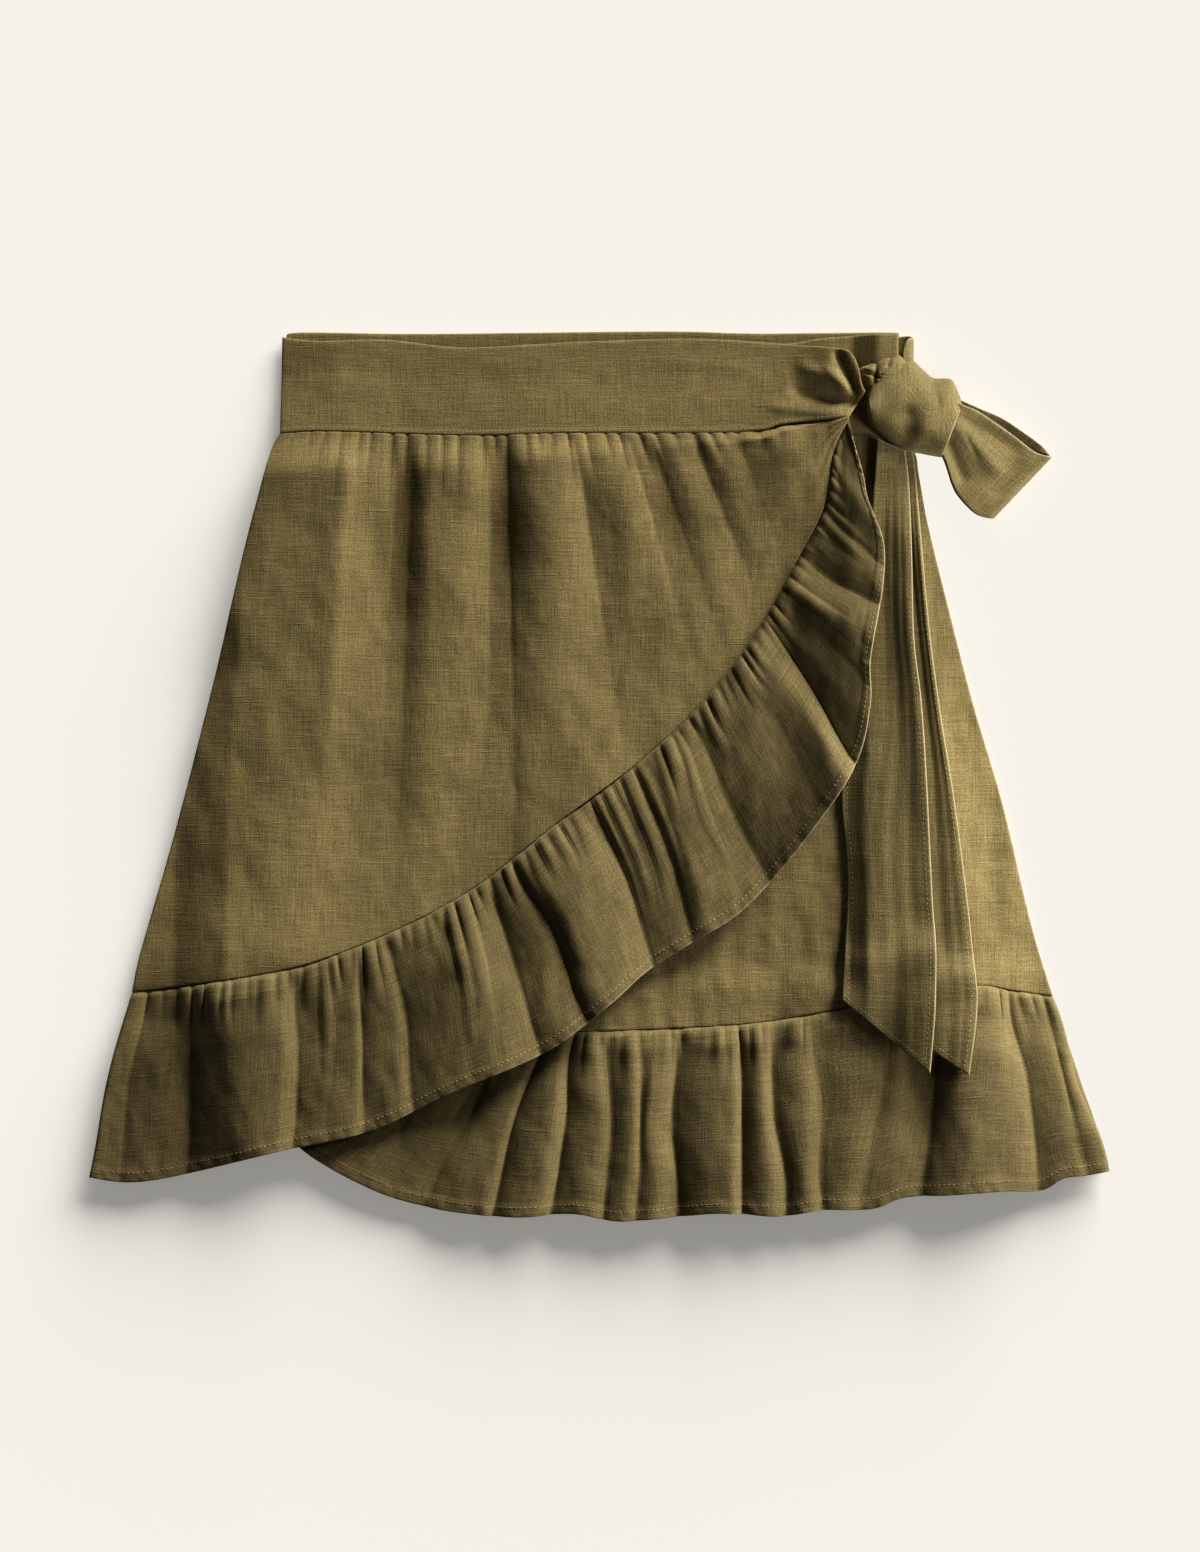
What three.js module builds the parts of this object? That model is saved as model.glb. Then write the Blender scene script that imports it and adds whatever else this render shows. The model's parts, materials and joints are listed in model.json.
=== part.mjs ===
// A linen wrap skirt, laid flat on its back: gathered panels, two ruffled wrap
// edges, a wide waistband and a tie in a knot with one bow loop and two tails.
//
// Millimetres, +Z up. While it is drawn, x runs to the right from the middle of
// the waist and d runs down from the top edge of the waistband. At the end the
// whole skirt is moved so that the origin is under the middle of its box.

import * as THREE from 'three';

// Cloth
const WALL = 1.3; // one layer of linen with its soft loft
const DOUBLE = 1.7; // ties and waistbands, sewn double
const GAP = 0.3; // between pieces at seams and between layers
const MAX_WALL = 2.9; // the most that a wall measures upright on a steep fold

// Grids
const HEM_STEP = 7; // column spacing along a ruffle's hem
const PLAIN_STEP = 16; // the same where nothing shows
const WAIST_STEP = 5; // column spacing along the gathered waist
const CELL = 2; // cell of the map of heights
const LAYER_REACH = 12; // how far round it a wide piece clears what it lies on
const LAYER_SOFT = 7; // and how softly it follows it
const TAIL_REACH = 9; // the same for the tie
const TAIL_SOFT = 5;
const FIELD = { left: -330, right: 340, top: -20, bottom: 540 };

// Gathers
const TUCK_RISE = 1.1; // small gathers at a seam
const TUCK_PITCH = 4; // half of one gather along the seam
const TUCK_REACH = 0.3; // part of the depth that they fade over
const PANEL_TUCK_REACH = 0.14;

// Outlines, each from its first named end
const LEFT_SIDE = [ // waist to hem seam
  { x: -181.5, d: 60.5 }, { x: -186.2, d: 68.4 }, { x: -194.3, d: 97.4 }, { x: -201.8, d: 126.4 },
  { x: -215.2, d: 184.4 }, { x: -229.7, d: 242.4 }, { x: -245.3, d: 300.4 }, { x: -262.2, d: 358.4 },
  { x: -267.4, d: 382.8 },
];
const RIGHT_SIDE = [ // waist to hem seam
  { x: 177.5, d: 59.5 }, { x: 187.2, d: 70.2 }, { x: 189.7, d: 82.9 }, { x: 194.9, d: 111.9 },
  { x: 205.3, d: 155.4 }, { x: 219.8, d: 213.4 }, { x: 236.6, d: 271.4 }, { x: 250, d: 329.4 }, { x: 257.5, d: 358.4 },
  { x: 265.6, d: 385.1 },
];
const BACK_TOP = [ // left to right
  { x: -178.1, d: 2.9 }, { x: -168.8, d: 0.6 }, { x: -97.4, d: 1.4 }, { x: 37.1, d: 0 },
  { x: 93.4, d: 1.2 }, { x: 168.8, d: 0.6 }, { x: 175.7, d: 1.7 },
];
const UNDER_TOP = [ // left to right
  { x: -141.5, d: 8.1 }, { x: 3.5, d: 11.6 }, { x: 102.7, d: 8.1 }, { x: 131.1, d: 4.3 },
  { x: 159.5, d: 2.3 }, { x: 175.7, d: 2.3 },
];
const OVER_TOP = [ // left to right, into the knot
  { x: -180.4, d: 3.5 }, { x: -159.5, d: 5.8 }, { x: -120.6, d: 5.2 }, { x: -84.1, d: 9.3 },
  { x: -58.6, d: 9.3 }, { x: -7, d: 6.4 }, { x: 55.7, d: 4.6 }, { x: 93.4, d: 6.4 },
  { x: 121.8, d: 8.7 }, { x: 138, d: 10.4 }, { x: 147.6, d: 13 }, { x: 152.5, d: 22 },
  { x: 154.2, d: 31 }, { x: 156.4, d: 36 },
];
const OVER_WAIST = [ // left to right, the lower edge of the upper waistband
  { x: -181.5, d: 59.7 }, { x: -155.4, d: 58.3 }, { x: -84.1, d: 60.3 }, { x: -58.6, d: 60.3 },
  { x: -19.7, d: 59.2 }, { x: 85.8, d: 58.6 }, { x: 108.5, d: 54.5 }, { x: 127.6, d: 52.2 },
  { x: 147, d: 50.5 },
];
const OVER_SEAM = [ // from the knot down the curved wrap edge to the left side
  { x: 147.3, d: 51 }, { x: 138, d: 71.3 }, { x: 132.8, d: 102.1 }, { x: 118.3, d: 131.1 },
  { x: 96.9, d: 169.4 }, { x: 67.9, d: 209.4 }, { x: 29.6, d: 246.5 }, { x: -19.7, d: 283.6 },
  { x: -80, d: 328.9 }, { x: -159.5, d: 364.2 }, { x: -236.1, d: 378.7 }, { x: -267.4, d: 382.8 },
];
const OVER_HEM = [ // the free edge of the upper ruffle, the same way
  { x: 147.9, d: 58.6 }, { x: 154.9, d: 82.9 }, { x: 157.8, d: 98.6 }, { x: 166.5, d: 123.5 },
  { x: 165.9, d: 149.6 }, { x: 158.9, d: 190.2 }, { x: 158.9, d: 216.3 }, { x: 150.2, d: 251.7 },
  { x: 120.1, d: 296.4 }, { x: 87, d: 334.1 }, { x: 55.7, d: 354.4 }, { x: 29.6, d: 371.2 },
  { x: 9.3, d: 389.2 }, { x: -27.3, d: 416.4 }, { x: -82.4, d: 440.2 }, { x: -129.3, d: 462.3 },
  { x: -186.2, d: 475 }, { x: -240.1, d: 488.4 }, { x: -269.1, d: 492.4 }, { x: -291.7, d: 489.5 },
];
const UNDER_SEAM = [ // from the right side round the hidden wrap edge to the waist
  { x: 265.6, d: 385.1 }, { x: 241.9, d: 381.6 }, { x: 221, d: 378.7 }, { x: 192, d: 385.1 },
  { x: 146.7, d: 391.5 }, { x: 102.1, d: 399.6 }, { x: 58, d: 403.1 }, { x: -2.9, d: 405.4 },
  { x: -42.9, d: 404.3 }, { x: -76.6, d: 394.4 }, { x: -103.8, d: 374.7 }, { x: -121.2, d: 338.1 },
  { x: -132.2, d: 283 }, { x: -138.6, d: 184.4 }, { x: -141.5, d: 62.6 },
];
const UNDER_HEM = [ // the free edge of the lower ruffle, the same way
  { x: 298.1, d: 486 }, { x: 284.8, d: 488.4 }, { x: 271.4, d: 490.1 }, { x: 258.7, d: 497.1 },
  { x: 235.5, d: 497.1 }, { x: 203, d: 499.4 }, { x: 178.6, d: 501.1 }, { x: 160.1, d: 507.5 },
  { x: 131.1, d: 508.1 }, { x: 107.9, d: 511.6 }, { x: 74.2, d: 509.8 }, { x: 47.6, d: 512.1 },
  { x: 13.3, d: 514.5 }, { x: -11, d: 510.4 }, { x: -42.9, d: 512.1 }, { x: -66.1, d: 511 },
  { x: -95.1, d: 506.9 }, { x: -128.8, d: 496.5 }, { x: -169.9, d: 472.7 }, { x: -192.6, d: 442.5 },
  { x: -203, d: 387.4 }, { x: -203.6, d: 300.4 }, { x: -198.4, d: 213.4 }, { x: -190.2, d: 132.2 },
  { x: -170.5, d: 80 }, { x: -150, d: 63 },
];
const UNDER_CORNER = 392; // along the seam, where its hem turns up into its wrap edge
const UNDER_WAIST = [ // left to right
  { x: -141.5, d: 62.3 }, { x: 0, d: 61.5 }, { x: 175.7, d: 59.2 },
];
const BACK_WAIST = [ // left to right
  { x: -181.5, d: 60.2 }, { x: 0, d: 61 }, { x: 175.7, d: 59.2 },
];
const BACK_SEAM = [ // right to left
  { x: 265.6, d: 385.4 }, { x: 150, d: 391 }, { x: 0, d: 394 }, { x: -150, d: 390 },
  { x: -267.4, d: 383.1 },
];
const BACK_HEM = [ // right to left, just inside the hems over it
  { x: 296.5, d: 483 }, { x: 264.5, d: 487 }, { x: 177.5, d: 495 }, { x: 61.5, d: 503 },
  { x: -54.5, d: 500 }, { x: -120, d: 484 }, { x: -172, d: 465 }, { x: -215, d: 473 },
  { x: -257.5, d: 484 }, { x: -290, d: 486 },
];

// Folds of the upper ruffle: where each crest or valley line starts along the
// seam and ends along the hem, from the knot, and how far it rises
const OVER_FOLDS = [
  { seam: 0, hem: 0, rise: 0 }, { seam: 22, hem: 14, rise: 1 }, { seam: 43, hem: 40, rise: 0.5 },
  { seam: 54, hem: 58, rise: 3 }, { seam: 78, hem: 76, rise: 1.5 }, { seam: 84, hem: 91, rise: 0.5 },
  { seam: 94, hem: 110, rise: 5 }, { seam: 103, hem: 138, rise: 6 }, { seam: 115, hem: 190, rise: 0.5 },
  { seam: 121, hem: 200, rise: 6.5 }, { seam: 136, hem: 216, rise: 4.5 }, { seam: 162, hem: 250, rise: 4 },
  { seam: 183, hem: 276, rise: 2 }, { seam: 197, hem: 291, rise: 0 }, { seam: 212, hem: 309, rise: 5 },
  { seam: 225, hem: 325, rise: 8 }, { seam: 230, hem: 334, rise: 2.5 }, { seam: 252, hem: 351, rise: 3 },
  { seam: 270, hem: 366, rise: 0 }, { seam: 281, hem: 379, rise: 7.5 }, { seam: 305, hem: 398, rise: 8 },
  { seam: 313, hem: 411, rise: 1 }, { seam: 336, hem: 435, rise: 2.5 }, { seam: 354, hem: 454, rise: 4.5 },
  { seam: 374, hem: 474, rise: 7 }, { seam: 381, hem: 483, rise: 0.5 }, { seam: 394, hem: 501, rise: 2 },
  { seam: 414, hem: 529, rise: 6 }, { seam: 422, hem: 538, rise: 2 }, { seam: 433, hem: 559, rise: 5.5 },
  { seam: 440, hem: 567, rise: 2 }, { seam: 453, hem: 583, rise: 3.5 }, { seam: 466, hem: 600, rise: 1 },
  { seam: 477, hem: 609, rise: 4.5 }, { seam: 492, hem: 625, rise: 5 }, { seam: 501, hem: 636, rise: 5.5 },
  { seam: 509, hem: 644, rise: 1 }, { seam: 519, hem: 654, rise: 0.8 }, { seam: 532, hem: 664, rise: 0 },
  { seam: 541, hem: 673, rise: 4.5 }, { seam: 550, hem: 687, rise: 4 }, { seam: 558, hem: 701, rise: 4.5 },
  { seam: 563, hem: 710, rise: 1.5 }, { seam: 567, hem: 721, rise: 1 },
];
// Folds of the lower ruffle where it shows, from the right side
const UNDER_FOLDS = [
  { seam: 0, hem: 0, rise: 1 }, { seam: 6, hem: 14, rise: 5 }, { seam: 13, hem: 27, rise: 1.5 },
  { seam: 21, hem: 35, rise: 2.5 }, { seam: 29, hem: 44, rise: 7.5 }, { seam: 36, hem: 54, rise: 7 },
  { seam: 41, hem: 65, rise: 6.5 }, { seam: 51, hem: 83, rise: 4.5 }, { seam: 63, hem: 94, rise: 2.5 },
  { seam: 75, hem: 103, rise: 0 }, { seam: 86, hem: 114, rise: 1.5 }, { seam: 99, hem: 127, rise: 4.5 },
  { seam: 109, hem: 139, rise: 6.5 }, { seam: 117, hem: 151, rise: 3 }, { seam: 126, hem: 160, rise: 4 },
  { seam: 134, hem: 167, rise: 1.5 }, { seam: 142, hem: 174, rise: 7.5 }, { seam: 152, hem: 183, rise: 4.5 },
  { seam: 163, hem: 191, rise: 0 }, { seam: 171, hem: 200, rise: 5.5 }, { seam: 179, hem: 211, rise: 4 },
  { seam: 185, hem: 219, rise: 0.5 }, { seam: 192, hem: 228, rise: 2.5 }, { seam: 202, hem: 240, rise: 0.5 },
  { seam: 212, hem: 249, rise: 1.5 }, { seam: 223, hem: 258, rise: 8.5 }, { seam: 232, hem: 266, rise: 6 },
  { seam: 240, hem: 274, rise: 1.5 }, { seam: 248, hem: 282, rise: 6.5 }, { seam: 257, hem: 291, rise: 1 },
  { seam: 264, hem: 299, rise: 0 }, { seam: 272, hem: 308, rise: 5 }, { seam: 282, hem: 321, rise: 0 },
  { seam: 297, hem: 346, rise: 3 }, { seam: 314, hem: 370, rise: 1.5 }, { seam: 330, hem: 398, rise: 2.5 },
  { seam: 346, hem: 426, rise: 1 },
];
const BACK_FOLDS = [ // from the right side
  { seam: 0, hem: 0, rise: 0 }, { seam: 533.3, hem: 594, rise: 0, plain: true },
];
const UNDER_HIDDEN_FOLDS = 14; // low waves on the stretch under the upper panel
// Folds of the upper panel: along the waist, along the curved seam from the
// left side, and how far each crest or valley rises
const PANEL_FOLDS = [
  { waist: 0, seam: 0, rise: 0.5 }, { waist: 11, seam: 42, rise: 1 }, { waist: 23, seam: 66, rise: 0.4 },
  { waist: 33, seam: 89, rise: 3 }, { waist: 41, seam: 101, rise: 1 }, { waist: 47, seam: 110, rise: 0.2 },
  { waist: 59, seam: 128, rise: 3.5 }, { waist: 69, seam: 144, rise: 1.5 }, { waist: 77, seam: 156, rise: 0 },
  { waist: 88, seam: 175, rise: 0.3 }, { waist: 108, seam: 200, rise: 3.5 }, { waist: 121, seam: 219, rise: 2 },
  { waist: 131, seam: 240, rise: 0.3 }, { waist: 147, seam: 271, rise: 0.8 }, { waist: 157, seam: 293, rise: 1.5 },
  { waist: 170, seam: 320, rise: 3 }, { waist: 179, seam: 336, rise: 1 }, { waist: 188, seam: 351, rise: 0.2 },
  { waist: 200, seam: 382, rise: 3.2 }, { waist: 213, seam: 406, rise: 1.8 }, { waist: 223, seam: 424, rise: 0.2 },
  { waist: 237, seam: 441, rise: 3.5 }, { waist: 248, seam: 454, rise: 1.8 }, { waist: 263, seam: 470, rise: 0.3 },
  { waist: 276, seam: 483, rise: 0.5 }, { waist: 291, seam: 500, rise: 1.5 }, { waist: 302, seam: 515, rise: 0.5 },
  { waist: 316, seam: 542, rise: 0.3 }, { waist: 328, seam: 564, rise: 0 },
];
// Soft waves across the lower panel
const UNDER_WAVE = 0.5;
const UNDER_WAVES = 5;
const FULL_DEPTH = 60; // a ruffle narrower than this has lower folds
// Where rows of a ruffle lie between its seam and its hem
const RUFFLE_DEPTHS = [0, 0.07, 0.16, 0.3, 0.48, 0.66, 0.83, 1];
// Folds that gather the upper waistband into the knot
const BAND_FOLDS = [
  { across: 0.84, rise: 0 }, { across: 0.88, rise: 1.6 }, { across: 0.91, rise: 0.3 },
  { across: 0.95, rise: 2.6 }, { across: 1, rise: 0.8 },
];
// The panel's folds swell just under the gathers and fade down the skirt
const PANEL_SWELL = [
  { depth: 0, share: 0.3 }, { depth: 0.1, share: 0.8 }, { depth: 0.25, share: 1 },
  { depth: 0.5, share: 0.45 }, { depth: 0.75, share: 0.2 }, { depth: 1, share: 0.15 },
];

// Tie: the two tails, each from the knot to its slanted end
const FRONT_TAIL_LEFT = [
  { x: 163.6, d: 62.6 }, { x: 160.1, d: 109 }, { x: 153.1, d: 184.4 }, { x: 145.6, d: 248.2 },
  { x: 143.3, d: 271.4 }, { x: 146.2, d: 305.1 }, { x: 146.7, d: 327.1 }, { x: 143.3, d: 386.9 },
];
const FRONT_TAIL_RIGHT = [
  { x: 179.8, d: 69.6 }, { x: 182.1, d: 91.6 }, { x: 183.3, d: 133.4 }, { x: 184.4, d: 178.6 },
  { x: 188.5, d: 213.4 }, { x: 191.4, d: 255.8 }, { x: 194.9, d: 327.1 }, { x: 196.6, d: 353.2 },
  { x: 196, d: 392.1 }, { x: 193.1, d: 428 },
];
const REAR_TAIL_LEFT = [
  { x: 170.5, d: 66.1 }, { x: 169.4, d: 155.4 }, { x: 167, d: 271.4 }, { x: 168.2, d: 397.9 },
];
const REAR_TAIL_RIGHT = [
  { x: 184.4, d: 69.6 }, { x: 186.8, d: 91.6 }, { x: 192.6, d: 161.8 }, { x: 198.9, d: 213.4 },
  { x: 207.6, d: 269.1 }, { x: 215.2, d: 327.1 }, { x: 219.8, d: 372.4 }, { x: 220.4, d: 393.2 },
  { x: 215.8, d: 429.8 },
];
// How a tail's cloth rises across its width
const TAIL_CREASE = [
  { across: 0, rise: 0.4 }, { across: 0.22, rise: 2.4 }, { across: 0.45, rise: 0.3 },
  { across: 0.75, rise: 1.8 }, { across: 1, rise: 0.6 },
];

// Knot: its outline, its height over what it lies on, and the creases on it
const KNOT_OUTLINE = [ // round from its upper left, by the way of the loop
  { x: 161, d: 19.5 }, { x: 169.6, d: 15.5 }, { x: 177.5, d: 15.2 }, { x: 183.6, d: 17 },
  { x: 195.5, d: 27.5 }, { x: 205.6, d: 28 }, { x: 208.6, d: 31.9 }, { x: 212.6, d: 42.9 },
  { x: 206.8, d: 58 }, { x: 200.3, d: 72 }, { x: 187.1, d: 70 }, { x: 179.6, d: 69.4 },
  { x: 161.6, d: 57 }, { x: 158.6, d: 49 }, { x: 158.6, d: 40 }, { x: 157.6, d: 29 },
];
const KNOT_CROWN = 23; // its top over the floor
const KNOT_RIM = 5; // its side wall over what it lies on
const KNOT_CREASES = [ // lines across the knot that press into it
  { from: { x: 160, d: 44 }, to: { x: 188, d: 34 }, depth: 2.5, width: 4 },
  { from: { x: 162, d: 56 }, to: { x: 190, d: 50 }, depth: 2, width: 4 },
  { from: { x: 170, d: 18 }, to: { x: 184, d: 28 }, depth: 1.8, width: 3 },
];
const KNOT_SIDES = 32;
const KNOT_RINGS = 6;
const KNOT_MIDDLE = { x: 184, d: 44 };
const KNOT_FULLNESS = 2.4; // how square its dome is

// Bow loop: its upper and lower edge in plan, from the knot to the fold at its
// tip, and the heights of its two layers at the knot and at the tip
const LOOP_UPPER = [
  { x: 213.3, d: 43.3 }, { x: 221, d: 46.5 }, { x: 232, d: 53.4 }, { x: 244.2, d: 62.1 },
  { x: 255.2, d: 70.2 }, { x: 264.8, d: 73.1 },
];
const LOOP_LOWER = [
  { x: 201.6, d: 73 }, { x: 204.7, d: 80.9 }, { x: 207.1, d: 88.2 }, { x: 211.1, d: 95.7 },
  { x: 221, d: 105.6 }, { x: 230.5, d: 108.5 },
];
const LOOP_HEIGHTS = { knotFront: 12, knotBack: 3, tipFront: 10.4, tipBack: 1 };
const LOOP_STEPS = 9; // along each layer
const LOOP_BEND = 6; // round the fold at the tip
const LOOP_ACROSS = 6;

// Strap: the tie's stretch behind the back waistband, up to the knot
const STRAP = { left: -176, right: 176.5, top: 3.5, bottom: 52 };
const STRAP_RISE = [ // round the right side: x, upper and lower edge, height
  { x: 176.5, top: 3.5, bottom: 52, z: 0.85 }, { x: 181.4, top: 2.6, bottom: 46, z: 1.6 },
  { x: 184, top: 4.5, bottom: 34, z: 4.6 }, { x: 183.2, top: 7.5, bottom: 20, z: 7.6 },
  { x: 181, top: 8.4, bottom: 14.8, z: 9.2 },
];

// Finish
const OLIVE = 0x756640;
const OLIVE_DEEP = 0x6a5c38;
const ROUGHNESS = 0.9;

// Random draws, the same each time
function randomFrom(seed) {
  let state = seed;
  return () => {
    state = (state * 1664525 + 1013904223) % 4294967296;
    return state / 4294967296;
  };
}

function curveThrough(table) {
  const curve = new THREE.SplineCurve(table.map(({ x, d }) => new THREE.Vector2(x, d)));
  curve.arcLengthDivisions = 800;
  return curve;
}

function pointAt(curve, share) {
  const point = curve.getPointAt(THREE.MathUtils.clamp(share, 0, 1));
  return { x: point.x, d: point.y };
}

function between(a, b, share) {
  return a + (b - a) * share;
}

function down(place, step) {
  return { x: place.x, d: place.d + step };
}

function ease(share) {
  const s = THREE.MathUtils.clamp(share, 0, 1);
  return s * s * (3 - 2 * s);
}

// A value read between the rows of a table, eased from row to row
function readTable(table, key, value, at) {
  const last = table.length - 1;
  if (at <= table[0][key]) return table[0][value];
  for (let i = 0; i < last; i += 1) {
    if (at <= table[i + 1][key]) {
      const share = (at - table[i][key]) / (table[i + 1][key] - table[i][key]);
      return between(table[i][value], table[i + 1][value], ease(share));
    }
  }
  return table[last][value];
}

// The height of everything laid so far, on a square grid
class HeightMap {
  constructor() {
    this.columns = Math.ceil((FIELD.right - FIELD.left) / CELL);
    this.rows = Math.ceil((FIELD.bottom - FIELD.top) / CELL);
    this.heights = new Float64Array(this.columns * this.rows);
  }

  // Marks the height of each triangle over the cells that it covers
  press(geometry) {
    const position = geometry.getAttribute('position');
    const index = geometry.getIndex();
    for (let i = 0; i < index.count; i += 3) {
      const [a, b, c] = [0, 1, 2].map((k) => {
        const v = index.getX(i + k);
        return {
          u: (position.getX(v) - FIELD.left) / CELL,
          v: (-position.getY(v) - FIELD.top) / CELL,
          z: position.getZ(v),
        };
      });
      this.fill(a, b, c);
    }
  }

  fill(a, b, c) {
    const area = (b.u - a.u) * (c.v - a.v) - (c.u - a.u) * (b.v - a.v);
    if (Math.abs(area) < 1e-9) return;
    const slack = 0.6; // cells just outside the triangle count too
    const highest = Math.max(a.z, b.z, c.z);
    for (let v = Math.floor(Math.min(a.v, b.v, c.v)); v <= Math.max(a.v, b.v, c.v) + 1; v += 1) {
      for (let u = Math.floor(Math.min(a.u, b.u, c.u)); u <= Math.max(a.u, b.u, c.u) + 1; u += 1) {
        const wb = ((u - a.u) * (c.v - a.v) - (c.u - a.u) * (v - a.v)) / area;
        const wc = ((b.u - a.u) * (v - a.v) - (u - a.u) * (b.v - a.v)) / area;
        const wa = 1 - wb - wc;
        if (Math.min(wa, wb, wc) < -slack / Math.sqrt(Math.abs(area))) continue;
        const z = Math.min(wa * a.z + wb * b.z + wc * c.z, highest);
        const cell = v * this.columns + u;
        this.heights[cell] = Math.max(this.heights[cell], z);
      }
    }
  }

  // The highest point within reach of each cell, then smoothed over soft
  cover(reach, soft) {
    const spread = this.sweep(this.heights, Math.ceil((reach + soft) / CELL), (window) => Math.max(...window));
    const mean = (window) => window.reduce((sum, z) => sum + z, 0) / window.length;
    const smooth = this.sweep(spread, Math.floor(soft / CELL), mean);
    return (x, d) => {
      const u = THREE.MathUtils.clamp((x - FIELD.left) / CELL, 0, this.columns - 1.001);
      const v = THREE.MathUtils.clamp((d - FIELD.top) / CELL, 0, this.rows - 1.001);
      const cell = Math.floor(v) * this.columns + Math.floor(u);
      const upper = between(smooth[cell], smooth[cell + 1], u % 1);
      const lower = between(smooth[cell + this.columns], smooth[cell + this.columns + 1], u % 1);
      return between(upper, lower, v % 1);
    };
  }

  sweep(heights, radius, pick) {
    const across = new Float64Array(heights.length);
    const down = new Float64Array(heights.length);
    for (let v = 0; v < this.rows; v += 1) {
      for (let u = 0; u < this.columns; u += 1) {
        const first = v * this.columns + Math.max(u - radius, 0);
        const last = v * this.columns + Math.min(u + radius, this.columns - 1);
        across[v * this.columns + u] = pick(heights.subarray(first, last + 1));
      }
    }
    for (let u = 0; u < this.columns; u += 1) {
      const line = Float64Array.from({ length: this.rows }, (_, v) => across[v * this.columns + u]);
      for (let v = 0; v < this.rows; v += 1) {
        const window = line.subarray(Math.max(v - radius, 0), Math.min(v + radius, this.rows - 1) + 1);
        down[v * this.columns + u] = pick(window);
      }
    }
    return down;
  }
}

// Triangles between two rows whose points may differ in number
function zipRows(near, far, emit) {
  let i = 0;
  let j = 0;
  while (i < near.length - 1 || j < far.length - 1) {
    const nextNear = i < near.length - 1 ? near[i + 1].at : Infinity;
    const nextFar = j < far.length - 1 ? far[j + 1].at : Infinity;
    if (nextNear <= nextFar) {
      emit(near[i], near[i + 1], far[j]);
      i += 1;
    } else {
      emit(near[i], far[j + 1], far[j]);
      j += 1;
    }
  }
}

// A closed wall from rows of points, each with an inner and an outer place
function wallGeometry(rows) {
  const places = [];
  rows.flat().forEach((point, i) => {
    point.key = 2 * i;
    places.push(...point.low, ...point.high);
  });
  const faces = [];
  const skin = (a, b, c) => {
    faces.push(a.key + 1, b.key + 1, c.key + 1, a.key, c.key, b.key);
  };
  for (let k = 0; k < rows.length - 1; k += 1) zipRows(rows[k], rows[k + 1], skin);
  const rim = [
    ...rows[0],
    ...rows.slice(1, -1).map((row) => row.at(-1)),
    ...rows.at(-1).toReversed(),
    ...rows.slice(1, -1).toReversed().map((row) => row[0]),
  ];
  rim.forEach((point, i) => {
    const next = rim[(i + 1) % rim.length];
    faces.push(point.key, next.key, next.key + 1, point.key, next.key + 1, point.key + 1);
  });
  return closedGeometry(places, faces);
}

function closedGeometry(places, faces) {
  let volume = 0;
  const corner = (key) => new THREE.Vector3(...places.slice(3 * key, 3 * key + 3));
  for (let i = 0; i < faces.length; i += 3) {
    volume += corner(faces[i]).dot(corner(faces[i + 1]).cross(corner(faces[i + 2])));
  }
  const geometry = new THREE.BufferGeometry();
  geometry.setAttribute('position', new THREE.Float32BufferAttribute(places, 3));
  geometry.setIndex(volume > 0 ? faces : faces.toReversed());
  geometry.computeVertexNormals();
  return geometry;
}

// Lays flat rows of { at, x, d, rise } on what is under them as a wall
function layRows(rows, wall, rest) {
  rows.flat().forEach((point) => {
    point.base = rest(point.x, point.d) + point.rise;
  });
  rows.forEach((row) => row.forEach((point, i) => {
    const slopes = [row[i - 1], row[i + 1]].filter(Boolean).map((other) => (
      (other.base - point.base) / Math.max(Math.hypot(other.x - point.x, other.d - point.d), 0.5)
    ));
    const stretch = Math.hypot(1, Math.max(...slopes.map(Math.abs)));
    point.low = [point.x, -point.d, point.base];
    point.high = [point.x, -point.d, point.base + Math.min(wall * stretch, Math.max(wall, MAX_WALL))];
  }));
  return wallGeometry(rows);
}

// Column places along a fold table: every row of it and even steps between
function columnsOf(folds, key, step) {
  const columns = [];
  folds.slice(0, -1).forEach((fold, i) => {
    const spacing = folds[i + 1].plain ? PLAIN_STEP : step;
    const steps = Math.max(1, Math.round((folds[i + 1][key] - fold[key]) / spacing));
    for (let k = 0; k < steps; k += 1) columns.push(i + k / steps);
  });
  return [...columns, folds.length - 1];
}

function foldAt(folds, place) {
  const i = Math.min(Math.floor(place), folds.length - 2);
  const share = place - i;
  const values = {};
  Object.keys(folds[i]).forEach((key) => {
    values[key] = between(folds[i][key], folds[i + 1][key], key === 'rise' ? ease(share) : share);
  });
  return values;
}

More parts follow.
